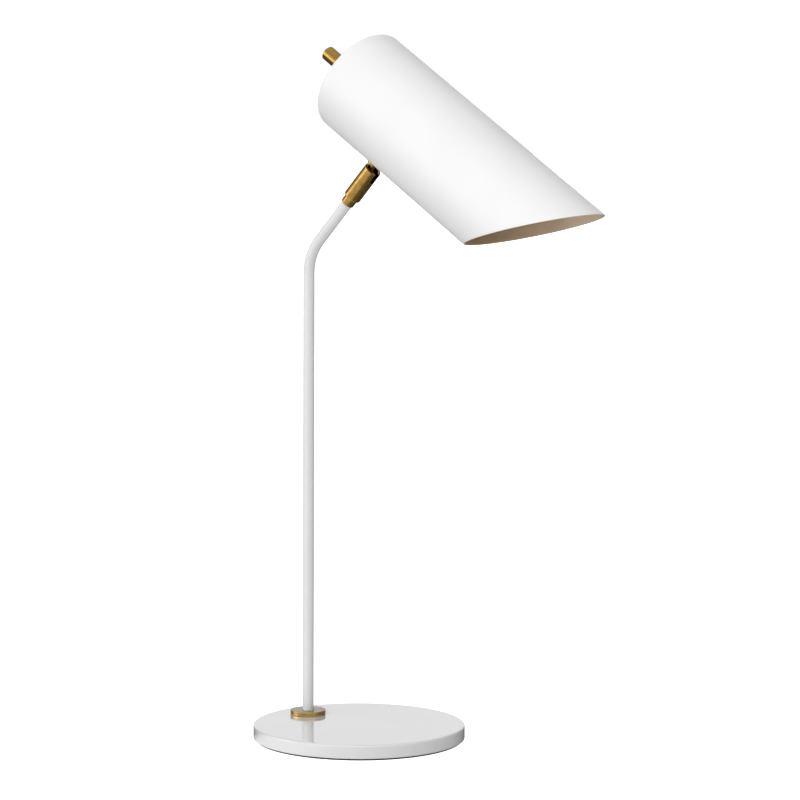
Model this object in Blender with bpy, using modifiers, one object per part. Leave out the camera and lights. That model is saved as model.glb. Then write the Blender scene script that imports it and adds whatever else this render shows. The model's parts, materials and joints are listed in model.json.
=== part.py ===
"""A desk lamp: a round base, a bent stem, a ball joint in a slotted sleeve, and a slant-cut tube shade.

Metres, +Z up. The origin is at the centre of the base, on the desk, and the shade points along +X.
Run it with: blender --background --python part.py
"""

import math

import bmesh
import bpy
from mathutils import Matrix, Vector

MM = 0.001

# ---- Clearances ----
GAP = 0.3 * MM              # between two pieces that rest on each other
RUNNING_GAP = 0.2 * MM      # radial, between a ball or a shaft and what it turns in
THREAD_PAST_NUT = 1 * MM    # thread that shows past a tightened nut
CUT_PAST = 5 * MM           # how far a cutter runs past the faces it opens

# ---- Base ----
BASE_DIAMETER = 185 * MM
BASE_THICKNESS = 11.8 * MM
BASE_EDGE_RADIUS = 1.6 * MM
BASE_FOOT_CHAMFER = 0.6 * MM
PAD_THICKNESS = 1.4 * MM
PAD_INSET = 2.2 * MM
POCKET_RIM = 8.5 * MM       # plate left between the pocket and the rear edge
POCKET_WIDTH = 34 * MM
POCKET_CORNER = 5 * MM
CORD_DIAMETER = 5 * MM      # the mains cord that the grommet takes
GROMMET_WALL = 0.9 * MM
GROMMET_FLANGE = 1.6 * MM   # thickness of the flange outside
GROMMET_LIP = 1.4 * MM      # how far the flange stands out round its hole

# ---- Stem ----
TUBE_DIAMETER = 10 * MM
TUBE_WALL = 1.5 * MM
STEM_TO_EDGE = 30.7 * MM    # from the stem's axis to the base's rear edge
ELBOW_HEIGHT = 422 * MM     # where the two straight centre lines would cross
ELBOW_RADIUS = 40 * MM
ARM_LEAN = math.radians(45)
ARM_LENGTH = 64.7 * MM      # from that crossing to the tube's top end
COLLAR_DIAMETER = 31.3 * MM
COLLAR_HEIGHT = 3.7 * MM
NUT_WALL = 2 * MM           # from the thread to a flat, on the stem nut and the holder's nut
STEM_NUT_HEIGHT = 2.5 * MM
LOCK_WASHER_THICKNESS = 0.6 * MM
TOOTH_DEPTH = 0.8 * MM
EARTH_TAG_THICKNESS = 0.8 * MM
EARTH_TAG_RING = 1.6 * MM   # width of the tag's ring
EARTH_TAG_WIDTH = 5 * MM
EARTH_TAG_REACH = 13 * MM   # from the stem's axis to the tab's end
EARTH_TAG_CORNER = 1 * MM
TUBE_BELOW_NUT = 0.5 * MM
LEAD_ROOM = 1.3 * MM        # between the tube's end and the lead that passes under it

# ---- Terminal block and leads ----
BLOCK_LENGTH = 15 * MM
BLOCK_WIDTH = 13 * MM
BLOCK_HEIGHT = 6.6 * MM
BLOCK_TO_NUT = 2.4 * MM
BLOCK_CORNER = 1 * MM
BLOCK_SCREW_DIAMETER = 3 * MM
SCREW_HEAD_HEIGHT = 1.5 * MM
SCREW_HEAD_SUNK = 0.6 * MM  # into the block
WIRE_WAY_DIAMETER = 2.8 * MM        # the block's two ways for bare wire ends
WIRE_WAY_SPACING = 7.2 * MM
LEAD_DIAMETER = 2.4 * MM
LEAD_BREAK = 1 * MM         # between the stem's lead and the ball
LEAD_AROUND = 1 * MM        # between the head's lead and the bracket's edge
LEAD_RISE = 3 * MM          # a lead's straight start out of a tube or a nut

# ---- Neck and swivel ----
NECK_STEP = 1.75 * MM       # how far the sleeve stands out past the neck
NECK_LENGTH = 7.6 * MM
NECK_PLUG = 10 * MM         # how far the neck plugs into the tube
NECK_NUT_WALL = 0.82 * MM   # from the spigot's thread to a flat of its nut
NECK_BORE = 4.4 * MM
SLEEVE_DIAMETER = 15.5 * MM
SLEEVE_WALL = 1.35 * MM     # beside the ball
SLEEVE_LENGTH = 33.8 * MM
SLEEVE_FLOOR = 1.6 * MM     # what the spigot passes through
SWIVEL_STOP_DEPTH = 1.6 * MM
SWIVEL_STOP_WIDTH = 1.4 * MM
STOP_ROOT = 0.5 * MM        # how far a stop is rooted in the piece it stands on
STOP_POCKET_MARGIN = 0.1 * MM       # how much wider than the neck the stop pocket is
NECK_WASHER_THICKNESS = 0.8 * MM
NECK_NUT_HEIGHT = 3 * MM
SEAT_STEP = 0.4 * MM        # ledge that the spring's washer rests on
LEDGE_ABOVE_SPIGOT = 1 * MM
SPRING_WASHER_THICKNESS = 1 * MM
SPRING_WIRE = 1.2 * MM
SPRING_TURNS = 4
BALL_SEAT_HEIGHT = 4.4 * MM
SEAT_GRIP = math.radians(34.2)      # how far below the ball's equator its seat reaches up to
EDGE_BREAK = 0.35 * MM      # small chamfer on turned brass edges

# ---- Ball joint ----
BALL_TO_SLEEVE_TOP = 7.7 * MM
SOCKET_GRIP = math.radians(38.7)    # how far past the ball's equator the sleeve wraps it
SOCKET_FLARE = 0.3 * MM
BALL_NECK_DIAMETER = 4.8 * MM
BALL_BORE = 3.4 * MM
HEAD_LIFT = math.radians(12.8)      # at rest, how far the ball's stem leans up from the arm's line
BALL_TO_SHADE = 16.3 * MM   # from the ball's centre to the shade's underside
FLANGE_DIAMETER = 12 * MM
FLANGE_THICKNESS = 3 * MM
SADDLE_DIAMETER = 14 * MM
SADDLE_THICKNESS = 0.9 * MM
STUD_DIAMETER = 8 * MM      # the ball stem's hollow threaded end, inside the shade

# ---- Shade ----
SHADE_DIAMETER = 94 * MM
SHADE_WALL = 1 * MM
SHADE_AXIS_LENGTH = 229.6 * MM      # along the axis, from the rear face to the slanted mouth
SHADE_CUT = math.radians(45)        # between the mouth and the axis
SHADE_REAR_RADIUS = 2 * MM
MOUNT_FROM_REAR = 51.5 * MM

# ---- Lampholder bracket ----
BRACKET_THICKNESS = 1.5 * MM
BRACKET_BEND = 3 * MM       # radius of the strip's bend, along its middle
BRACKET_WIDTH = 18 * MM
BRACKET_FRONT = 9.5 * MM    # foot ahead of the ball's stem
BRACKET_BACK = 20 * MM      # leg behind the ball's stem
BRACKET_ABOVE_AXIS = 10 * MM
STUD_NUT_FLATS = 13 * MM
STUD_NUT_HEIGHT = 4 * MM
STUD_WASHER_THICKNESS = 0.8 * MM
NIPPLE_DIAMETER = 10 * MM
NIPPLE_BORE = 7 * MM
NIPPLE_LENGTH = 12 * MM
NIPPLE_NUT_HEIGHT = 3 * MM

# ---- Lampholder and bulb, for an E27 cap ----
HOLDER_DIAMETER = 39 * MM
HOLDER_WALL = 1.6 * MM
HOLDER_CAP_HEIGHT = 14 * MM
HOLDER_BODY_HEIGHT = 36 * MM
HOLDER_FLOOR = 5.5 * MM
HOLDER_CHAMFER = 0.6 * MM
SCREW_SHELL_BORE = 27.4 * MM
SCREW_SHELL_WALL = 0.6 * MM
SCREW_SHELL_HEIGHT = 26 * MM
CONTACT_DIAMETER = 5 * MM
CONTACT_THICKNESS = 1.2 * MM
BULB_CAP_DIAMETER = 26.4 * MM
BULB_CAP_HEIGHT = 25 * MM
BULB_TIP_HEIGHT = 4 * MM    # of the insulator round the centre contact
BULB_DIAMETER = 45 * MM
DOME_STEP = 0.8 * MM        # how far the dome stands out past its housing
BULB_HOUSING_HEIGHT = 23 * MM

# ---- Switch and knob ----
SWITCH_DIAMETER = 24 * MM
SWITCH_HEIGHT = 15.7 * MM
SWITCH_LID = 4 * MM         # solid end of the switch, past its spindle
BUSHING_DIAMETER = 9.8 * MM
BUSHING_REACH = 6.5 * MM    # behind the shade's rear face
FERRULE_DIAMETER = 18 * MM
FERRULE_THICKNESS = 5 * MM
SPINDLE_DIAMETER = 6 * MM
SPINDLE_REACH = 24 * MM
KNOB_DIAMETER = 13 * MM
KNOB_REACH = 45 * MM        # behind the shade's rear face
KNOB_SCREW_DIAMETER = 3 * MM

# ---- Facets ----
FINE_STEPS = 72
MEDIUM_STEPS = 28
SMALL_STEPS = 16

# ---- Sizes that follow from the ones above ----
BASE_RADIUS = BASE_DIAMETER / 2
DISC_BOTTOM = PAD_THICKNESS + GAP
BASE_TOP = DISC_BOTTOM + BASE_THICKNESS
STEM_X = STEM_TO_EDGE - BASE_RADIUS
TUBE_RADIUS = TUBE_DIAMETER / 2
TUBE_BORE_RADIUS = TUBE_RADIUS - TUBE_WALL
TUBE_BOTTOM = PAD_THICKNESS + GAP + LEAD_DIAMETER + LEAD_ROOM
STEM_NUT_BOTTOM = TUBE_BOTTOM + TUBE_BELOW_NUT
EARTH_TAG_BOTTOM = STEM_NUT_BOTTOM + STEM_NUT_HEIGHT + GAP
EARTH_TAG_TOP = EARTH_TAG_BOTTOM + EARTH_TAG_THICKNESS
LOCK_WASHER_BOTTOM = EARTH_TAG_TOP + GAP
POCKET_CEILING = LOCK_WASHER_BOTTOM + LOCK_WASHER_THICKNESS + GAP
STEM_NUT_FLATS = TUBE_DIAMETER + 2 * NUT_WALL
STEM_NUT_CORNER = STEM_NUT_FLATS / 2 / math.cos(math.pi / 6)
SCREW_HOLE_DEPTH = 0.7 * (BASE_TOP - POCKET_CEILING)
GROMMET_HOLE_RADIUS = CORD_DIAMETER / 2 + GROMMET_WALL + GAP
GROMMET_HEIGHT = (DISC_BOTTOM + POCKET_CEILING) / 2
BLOCK_START = STEM_X + STEM_NUT_CORNER + BLOCK_TO_NUT
POCKET_START = POCKET_RIM - BASE_RADIUS
POCKET_END = BLOCK_START + BLOCK_LENGTH + GAP

NECK_FOOT = ARM_LENGTH + GAP
SLEEVE_FOOT = NECK_FOOT + NECK_LENGTH + GAP
SLEEVE_RADIUS = SLEEVE_DIAMETER / 2
SOCKET_RADIUS = SLEEVE_RADIUS - SLEEVE_WALL
BALL_RADIUS = SOCKET_RADIUS - RUNNING_GAP
NECK_RADIUS = SLEEVE_RADIUS - NECK_STEP
STOP_POCKET_RADIUS = NECK_RADIUS + STOP_POCKET_MARGIN
NECK_NUT_CORNER = SOCKET_RADIUS - SEAT_STEP - RUNNING_GAP
NECK_NUT_FLATS = 2 * math.cos(math.pi / 6) * NECK_NUT_CORNER
SPIGOT_RADIUS = NECK_NUT_FLATS / 2 - NECK_NUT_WALL - RUNNING_GAP
FLOOR_TOP = SWIVEL_STOP_DEPTH + SLEEVE_FLOOR
NECK_WASHER_FOOT = FLOOR_TOP + GAP
NECK_NUT_FOOT = NECK_WASHER_FOOT + NECK_WASHER_THICKNESS + GAP
NECK_NUT_TOP = NECK_NUT_FOOT + NECK_NUT_HEIGHT
SPIGOT_TOP = NECK_NUT_TOP + THREAD_PAST_NUT
LEDGE_HEIGHT = SPIGOT_TOP + LEDGE_ABOVE_SPIGOT
BALL_ALONG_SLEEVE = SLEEVE_LENGTH - BALL_TO_SLEEVE_TOP
BALL_SEAT_TOP = BALL_ALONG_SLEEVE - SOCKET_RADIUS * math.sin(SEAT_GRIP)
BALL_SEAT_FOOT = BALL_SEAT_TOP - BALL_SEAT_HEIGHT
SPRING_WASHER_FOOT = LEDGE_HEIGHT + GAP
SPRING_FOOT = SPRING_WASHER_FOOT + SPRING_WASHER_THICKNESS + GAP
SPRING_TOP = BALL_SEAT_FOOT - GAP

SHADE_RADIUS = SHADE_DIAMETER / 2
AXIS_HEIGHT = BALL_TO_SHADE + SHADE_RADIUS      # the shade's axis, from the ball's centre
SADDLE_FOOT = BALL_TO_SHADE - GAP - SADDLE_THICKNESS
FLANGE_TOP = SADDLE_FOOT - GAP
SHADE_INSIDE = SHADE_RADIUS - SHADE_WALL
BRACKET_SAG = SHADE_INSIDE - math.sqrt(SHADE_INSIDE ** 2 - (BRACKET_WIDTH / 2) ** 2)
BRACKET_FOOT = BALL_TO_SHADE + SHADE_WALL + BRACKET_SAG + GAP
STUD_WASHER_FOOT = BRACKET_FOOT + BRACKET_THICKNESS + GAP
STUD_NUT_FOOT = STUD_WASHER_FOOT + STUD_WASHER_THICKNESS + GAP
STUD_TOP = STUD_NUT_FOOT + STUD_NUT_HEIGHT + THREAD_PAST_NUT
STUD_RADIUS = STUD_DIAMETER / 2

LEG_REAR = MOUNT_FROM_REAR - BRACKET_BACK - BRACKET_THICKNESS       # along the shade from here on
LEG_FRONT = LEG_REAR + BRACKET_THICKNESS
NIPPLE_NUT_START = LEG_REAR - GAP - NIPPLE_NUT_HEIGHT
NIPPLE_START = NIPPLE_NUT_START - THREAD_PAST_NUT
HOLDER_CAP_START = LEG_FRONT + GAP
HOLDER_BODY_START = HOLDER_CAP_START + HOLDER_CAP_HEIGHT + GAP
HOLDER_BODY_END = HOLDER_BODY_START + HOLDER_BODY_HEIGHT
HOLDER_FLOOR_TOP = HOLDER_BODY_START + HOLDER_FLOOR
CONTACT_TOP = HOLDER_FLOOR_TOP + GAP + CONTACT_THICKNESS
BULB_START = CONTACT_TOP + GAP
BULB_CAP_END = BULB_START + BULB_CAP_HEIGHT
BULB_HOUSING_START = max(BULB_CAP_END, HOLDER_BODY_END) + GAP
BULB_DOME_START = BULB_HOUSING_START + BULB_HOUSING_HEIGHT + GAP
SWITCH_START = SHADE_WALL + GAP
SWITCH_END = SWITCH_START + SWITCH_HEIGHT
KNOB_START = GAP + FERRULE_THICKNESS + GAP

PARTS = None        # the collection of the lamp's pieces
CUTTERS = None      # the collection of the shapes that cut them


# ---- Helpers ----
def clear_scene():
    for item in list(bpy.data.objects):
        bpy.data.objects.remove(item, do_unlink=True)


def new_collection(name):
    collection = bpy.data.collections.new(name)
    bpy.context.scene.collection.children.link(collection)
    return collection


def new_material(name, colour, roughness, metallic=0.0):
    material = bpy.data.materials.new(name)
    material.use_nodes = True
    shader = material.node_tree.nodes["Principled BSDF"]
    shader.inputs["Base Color"].default_value = (*colour, 1.0)
    shader.inputs["Roughness"].default_value = roughness
    shader.inputs["Metallic"].default_value = metallic
    return material


def place(item, parent=None, at=(0, 0, 0), turn=(0, 0, 0)):
    """Puts an object in its parent's frame."""
    item.parent = parent
    item.location = at
    item.rotation_euler = turn
    return item


def new_object(name, data, material=None, collection=None):
    item = bpy.data.objects.new(name, data)
    (collection or PARTS).objects.link(item)
    if material:
        data.materials.append(material)
    return item


def new_frame(name, parent=None, at=(0, 0, 0), turn=(0, 0, 0)):
    return place(new_object(name, None), parent, at, turn)


def mesh_from(name, form, material=None, collection=None):
    mesh = bpy.data.meshes.new(name)
    form.to_mesh(mesh)
    form.free()
    return new_object(name, mesh, material, collection)


def arc(centre, radius, start, end, count):
    """Points (x, z) round a centre, from one angle to another in degrees."""
    points = []
    for index in range(count + 1):
        angle = math.radians(start + (end - start) * index / count)
        x = centre[0] + radius * math.cos(angle)
        z = centre[1] + radius * math.sin(angle)
        points.append((x, z))
    return points


def turned(name, profile, material, steps=MEDIUM_STEPS, wall=0.0):
    """A piece turned about its Z axis: a closed loop, an outline from axis to axis, or a shell with a wall."""
    ends_on_axis = profile[0][0] == 0 or profile[-1][0] == 0
    form = bmesh.new()
    points = [form.verts.new((x, 0, z)) for x, z in profile]
    for first, second in zip(points, points[1:]):
        form.edges.new((first, second))
    if not ends_on_axis and not wall:
        form.edges.new((points[-1], points[0]))
    item = mesh_from(name, form, material)
    screw = item.modifiers.new("turn", "SCREW")
    screw.axis = "Z"
    screw.steps = steps
    screw.render_steps = steps
    screw.use_merge_vertices = True
    screw.merge_threshold = 0.000001
    screw.use_smooth_shade = True
    if wall:
        shell = item.modifiers.new("wall", "SOLIDIFY")
        shell.thickness = wall
        shell.offset = -1
    return item


def ring(name, inner, outer, foot, height, material, steps=MEDIUM_STEPS, chamfer=0.0):
    """A washer, collar or tube: radii, then where it stands and how tall it is."""
    top = foot + height
    if not chamfer:
        profile = [(outer, top), (outer, foot), (inner, foot), (inner, top)]
        return turned(name, profile, material, steps)
    profile = [
        (outer - chamfer, top),
        (outer, top - chamfer),
        (outer, foot + chamfer),
        (outer - chamfer, foot),
        (inner, foot),
        (inner, top),
    ]
    return turned(name, profile, material, steps)


def cylinder_form(radius, start, end, sides):
    form = bmesh.new()
    middle = Matrix.Translation((0, 0, (start + end) / 2))
    bmesh.ops.create_cone(
        form,
        cap_ends=True,
        segments=sides,
        radius1=radius,
        radius2=radius,
        depth=end - start,
        matrix=middle,
    )
    return form


def box_form(low, high, corner=0.0, along=2, segments=5):
    """A box between two corners, with its edges along one axis rounded."""
    form = bmesh.new()
    bmesh.ops.create_cube(form, size=1)
    size = Vector(high) - Vector(low)
    middle = (Vector(high) + Vector(low)) / 2
    bmesh.ops.scale(form, vec=size, verts=form.verts)
    bmesh.ops.translate(form, vec=middle, verts=form.verts)
    if corner:
        edges = []
        for edge in form.edges:
            run = edge.verts[1].co - edge.verts[0].co
            if abs(run[along]) > 0.9 * run.length:
                edges.append(edge)
        bmesh.ops.bevel(
            form,
            geom=edges,
            offset=corner,
            segments=segments,
            profile=0.5,
            affect="EDGES",
        )
    return form


def combine(item, form, operation, parent=None, at=(0, 0, 0), turn=(0, 0, 0)):
    """Cuts a form out of a piece, or joins it on."""
    tool = mesh_from(item.name + "_cutter", form, collection=CUTTERS)
    tool.hide_render = True
    tool.display_type = "WIRE"
    place(tool, parent, at, turn)
    change = item.modifiers.new(operation.lower(), "BOOLEAN")
    change.operation = operation
    change.object = tool
    change.solver = "EXACT"
    return item


def hex_nut(name, flats, hole_radius, height, material, parent, at):
    """A hexagonal nut that stands at a point of its parent's frame."""
    corner = flats / 2 / math.cos(math.pi / 6)
    nut = mesh_from(name, cylinder_form(corner, 0, height, 6), material)
    place(nut, parent, at)
    hole = cylinder_form(hole_radius, -height, 2 * height, MEDIUM_STEPS)
    return combine(nut, hole, "DIFFERENCE", parent, at)


def path_object(name, points, radius, material, bevel_resolution=2, caps=True):
    """A round bar or wire along a list of points."""
    curve = bpy.data.curves.new(name, "CURVE")
    curve.dimensions = "3D"
    curve.bevel_depth = radius
    curve.bevel_resolution = bevel_resolution
    curve.use_fill_caps = caps
    spline = curve.splines.new("POLY")
    spline.points.add(len(points) - 1)
    for knot, point in zip(spline.points, points):
        knot.co = (*point, 1)
    return new_object(name, curve, material)


def smooth_path(knots, per_span=4):
    """Points on a smooth curve through the knots (Catmull-Rom)."""
    knots = [Vector(knot) for knot in knots]
    before = 2 * knots[0] - knots[1]
    after = 2 * knots[-1] - knots[-2]
    chain = [before, *knots, after]
    points = []
    for index in range(len(knots) - 1):
        a, b, c, d = chain[index:index + 4]
        for step in range(per_span):
            t = step / per_span
            bend = (2 * a - 5 * b + 4 * c - d) * t ** 2 + (3 * b - a - 3 * c + d) * t ** 3
            points.append(b + ((c - a) * t + bend) / 2)
    points.append(knots[-1])
    return points


# ---- Base ----
def make_base(white, felt, rubber):
    edge = BASE_EDGE_RADIUS
    profile = [(0, BASE_TOP), (BASE_RADIUS - edge, BASE_TOP)]
    profile += arc((BASE_RADIUS - edge, BASE_TOP - edge), edge, 90, 0, 4)[1:]
    profile.append((BASE_RADIUS, DISC_BOTTOM + BASE_FOOT_CHAMFER))
    profile.append((BASE_RADIUS - BASE_FOOT_CHAMFER, DISC_BOTTOM))
    profile.append((0, DISC_BOTTOM))
    disc = turned("base_disc", profile, white, FINE_STEPS)

    half = POCKET_WIDTH / 2
    low = (POCKET_START, -half, DISC_BOTTOM - CUT_PAST)
    high = (POCKET_END, half, POCKET_CEILING)
    combine(disc, box_form(low, high, POCKET_CORNER), "DIFFERENCE")
    stem_hole = cylinder_form(TUBE_RADIUS + GAP, POCKET_CEILING - CUT_PAST, BASE_TOP + CUT_PAST, MEDIUM_STEPS)
    combine(disc, stem_hole, "DIFFERENCE", at=(STEM_X, 0, 0))
    inlet = cylinder_form(GROMMET_HOLE_RADIUS, GAP - POCKET_RIM - CUT_PAST, CUT_PAST, MEDIUM_STEPS)
    combine(disc, inlet, "DIFFERENCE", at=(-BASE_RADIUS, 0, GROMMET_HEIGHT), turn=(0, -math.pi / 2, 0))
    screw_hole = cylinder_form(BLOCK_SCREW_DIAMETER / 2 + GAP, -CUT_PAST, SCREW_HOLE_DEPTH, SMALL_STEPS)
    combine(disc, screw_hole, "DIFFERENCE", at=(BLOCK_START + BLOCK_LENGTH / 2, 0, POCKET_CEILING))

    pad_profile = [
        (0, PAD_THICKNESS),
        (BASE_RADIUS - PAD_INSET, PAD_THICKNESS),
        (BASE_RADIUS - PAD_INSET, 0),
        (0, 0),
    ]
    turned("base_pad", pad_profile, felt, FINE_STEPS)
    make_grommet(rubber)


def make_grommet(rubber):
    """A strain-relief bush in the hole through the base's rear edge. Its Z axis points out of the edge."""
    sleeve = GROMMET_HOLE_RADIUS - GAP
    bore = CORD_DIAMETER / 2
    flange = GROMMET_HOLE_RADIUS + GROMMET_LIP
    foot = 2 * GAP
    profile = [
        (flange - 2 * GAP, foot + GROMMET_FLANGE),
        (flange, foot + GROMMET_FLANGE - 2 * GAP),
        (flange, foot),
        (sleeve, foot),
        (sleeve, GAP - POCKET_RIM),
        (bore, GAP - POCKET_RIM),
        (bore, foot + GROMMET_FLANGE),
    ]
    grommet = turned("cord_grommet", profile, rubber, MEDIUM_STEPS)
    place(grommet, None, (-BASE_RADIUS, 0, GROMMET_HEIGHT), (0, -math.pi / 2, 0))


# ---- Stem ----
def stem_centre_line():
    """Up from under the base, round the elbow, and along the leaning arm."""
    tangent = ELBOW_RADIUS * math.tan(ARM_LEAN / 2)
    start = Vector((STEM_X, 0, TUBE_BOTTOM))
    centre = Vector((STEM_X + ELBOW_RADIUS, 0, ELBOW_HEIGHT - tangent))
    points = [start]
    count = 8
    for index in range(count + 1):
        angle = ARM_LEAN * index / count
        offset = Vector((-math.cos(angle), 0, math.sin(angle)))
        points.append(centre + ELBOW_RADIUS * offset)
    arm = Vector((math.sin(ARM_LEAN), 0, math.cos(ARM_LEAN)))
    points.append(Vector((STEM_X, 0, ELBOW_HEIGHT)) + ARM_LENGTH * arm)
    return points


def make_stem(white, brass):
    sides = 20
    tube = path_object("stem_tube", stem_centre_line(), TUBE_RADIUS, white, sides // 2 - 2, caps=False)
    wall = tube.modifiers.new("wall", "SOLIDIFY")
    wall.thickness = TUBE_WALL
    wall.offset = -1
    bore = TUBE_RADIUS + GAP
    foot = BASE_TOP + GAP
    collar = ring("stem_collar", bore, COLLAR_DIAMETER / 2, foot, COLLAR_HEIGHT, brass, 48, EDGE_BREAK)
    place(collar, None, (STEM_X, 0, 0))


def make_stem_fastening(steel, brass):
    """What clamps the tube under the base: a toothed washer, an earth tag and a nut."""
    bore = TUBE_RADIUS + GAP
    washer = toothed_washer("stem_lock_washer", bore, bore + NUT_WALL, LOCK_WASHER_THICKNESS, steel)
    place(washer, None, (STEM_X, 0, LOCK_WASHER_BOTTOM + LOCK_WASHER_THICKNESS / 2))

    foot = EARTH_TAG_BOTTOM
    rim = bore + EARTH_TAG_RING
    tag = ring("earth_tag", bore, rim, foot, EARTH_TAG_THICKNESS, brass)
    place(tag, None, (STEM_X, 0, 0))
    half = EARTH_TAG_WIDTH / 2
    low = (-half, rim - EARTH_TAG_RING / 2, foot)
    tab = box_form(low, (half, EARTH_TAG_REACH, EARTH_TAG_TOP), EARTH_TAG_CORNER)
    combine(tag, tab, "UNION", at=(STEM_X, 0, 0))

    at = (STEM_X, 0, STEM_NUT_BOTTOM)
    hex_nut("stem_nut", STEM_NUT_FLATS, bore, STEM_NUT_HEIGHT, steel, None, at)


def toothed_washer(name, inner, outer, thickness, material, teeth=14):
    """A flat washer with a toothed rim, from a filled outline."""
    curve = bpy.data.curves.new(name, "CURVE")
    curve.dimensions = "2D"
    curve.fill_mode = "BOTH"
    curve.extrude = thickness / 2
    rim = []
    for index in range(2 * teeth):
        angle = math.pi * index / teeth
        radius = outer if index % 2 else outer - TOOTH_DEPTH
        rim.append((radius * math.cos(angle), radius * math.sin(angle)))
    hole = []
    for index in range(SMALL_STEPS):
        angle = 2 * math.pi * index / SMALL_STEPS
        hole.append((inner * math.cos(angle), inner * math.sin(angle)))
    for outline in (rim, hole):
        spline = curve.splines.new("POLY")
        spline.points.add(len(outline) - 1)
        for knot, (x, y) in zip(spline.points, outline):
            knot.co = (x, y, 0, 1)
        spline.use_cyclic_u = True
    return new_object(name, curve, material)


# ---- Wiring in the stand ----
def make_stand_wiring(nylon, steel, lead):
    middle = BLOCK_START + BLOCK_LENGTH / 2
    top = POCKET_CEILING - GAP
    low = (BLOCK_START, -BLOCK_WIDTH / 2, top - BLOCK_HEIGHT)
    high = (BLOCK_START + BLOCK_LENGTH, BLOCK_WIDTH / 2, top)
    block = mesh_from("terminal_block", box_form(low, high, BLOCK_CORNER), nylon)
    shank = BLOCK_SCREW_DIAMETER / 2
    bore = cylinder_form(shank + GAP, low[2] - CUT_PAST, top + CUT_PAST, SMALL_STEPS)
    combine(block, bore, "DIFFERENCE", at=(middle, 0, 0))
    head_foot = low[2] + SCREW_HEAD_SUNK
    head_top = head_foot + SCREW_HEAD_HEIGHT
    head_recess = cylinder_form(2 * shank + GAP, low[2] - CUT_PAST, head_top + GAP, SMALL_STEPS)
    combine(block, head_recess, "DIFFERENCE", at=(middle, 0, 0))
    for side in (-1, 1):
        way = cylinder_form(WIRE_WAY_DIAMETER / 2, -BLOCK_LENGTH, BLOCK_LENGTH, SMALL_STEPS)
        at = (middle, side * WIRE_WAY_SPACING / 2, (low[2] + top) / 2)
        combine(block, way, "DIFFERENCE", at=at, turn=(0, math.pi / 2, 0))

    screw_profile = [
        (0, POCKET_CEILING + SCREW_HOLE_DEPTH - GAP),
        (shank, POCKET_CEILING + SCREW_HOLE_DEPTH - GAP),
        (shank, head_top),
        (2 * shank, head_top),
        (2 * shank, head_foot),
        (0, head_foot),
    ]
    screw = turned("block_screw", screw_profile, steel, SMALL_STEPS)
    place(screw, None, (middle, 0, 0))

    run_height = PAD_THICKNESS + GAP + LEAD_DIAMETER / 2
    entry = TUBE_BOTTOM + LEAD_RISE
    knots = [
        (BLOCK_START - GAP - LEAD_DIAMETER / 4, 0, run_height + 0.6 * LEAD_DIAMETER),
        (BLOCK_START - BLOCK_TO_NUT, 0, run_height + 0.1 * LEAD_DIAMETER),
        (STEM_X + TUBE_RADIUS, 0, run_height),
        (STEM_X + 0.4 * TUBE_BORE_RADIUS, 0, run_height + 0.25 * LEAD_DIAMETER),
        (STEM_X, 0, entry),
        (STEM_X, 0, entry + 2 * LEAD_RISE),
    ]
    route = smooth_path(knots)
    route += stem_centre_line()[1:]
    arm = Vector((math.sin(ARM_LEAN), 0, math.cos(ARM_LEAN)))
    elbow = Vector((STEM_X, 0, ELBOW_HEIGHT))
    end = SLEEVE_FOOT + BALL_ALONG_SLEEVE - BALL_RADIUS - LEAD_BREAK
    route.append(elbow + end * arm)
    path_object("stem_lead", route, LEAD_DIAMETER / 2, lead)


# ---- Neck and sleeve ----
def make_neck(brass, steel, arm_frame):
    """The fixed neck on the tube's end, with the spigot that the sleeve turns on."""
    radius = NECK_RADIUS
    plug = TUBE_BORE_RADIUS - GAP
    bore = NECK_BORE / 2
    spigot_end = NECK_LENGTH + GAP + SPIGOT_TOP
    profile = [
        (SPIGOT_RADIUS - EDGE_BREAK, spigot_end),
        (SPIGOT_RADIUS, spigot_end - EDGE_BREAK),
        (SPIGOT_RADIUS, NECK_LENGTH),
        (radius - EDGE_BREAK, NECK_LENGTH),
        (radius, NECK_LENGTH - EDGE_BREAK),
        (radius, EDGE_BREAK),
        (radius - EDGE_BREAK, 0),
        (plug, 0),
        (plug, -NECK_PLUG),
        (bore, -NECK_PLUG),
        (bore, spigot_end),
    ]
    neck = turned("neck_ferrule", profile, brass)
    place(neck, arm_frame, (0, 0, NECK_FOOT))
    half = SWIVEL_STOP_WIDTH / 2
    low = (-radius + GAP, -half, NECK_LENGTH - STOP_ROOT)
    high = (-SPIGOT_RADIUS + STOP_ROOT, half, NECK_LENGTH + SWIVEL_STOP_DEPTH - GAP)
    combine(neck, box_form(low, high), "UNION", arm_frame, (0, 0, NECK_FOOT))

    bore = SPIGOT_RADIUS + RUNNING_GAP
    washer = ring("neck_washer", bore, NECK_NUT_CORNER, NECK_WASHER_FOOT, NECK_WASHER_THICKNESS, steel)
    place(washer, arm_frame, (0, 0, SLEEVE_FOOT))
    at = (0, 0, SLEEVE_FOOT + NECK_NUT_FOOT)
    hex_nut("neck_nut", NECK_NUT_FLATS, bore, NECK_NUT_HEIGHT, steel, arm_frame, at)


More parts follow.
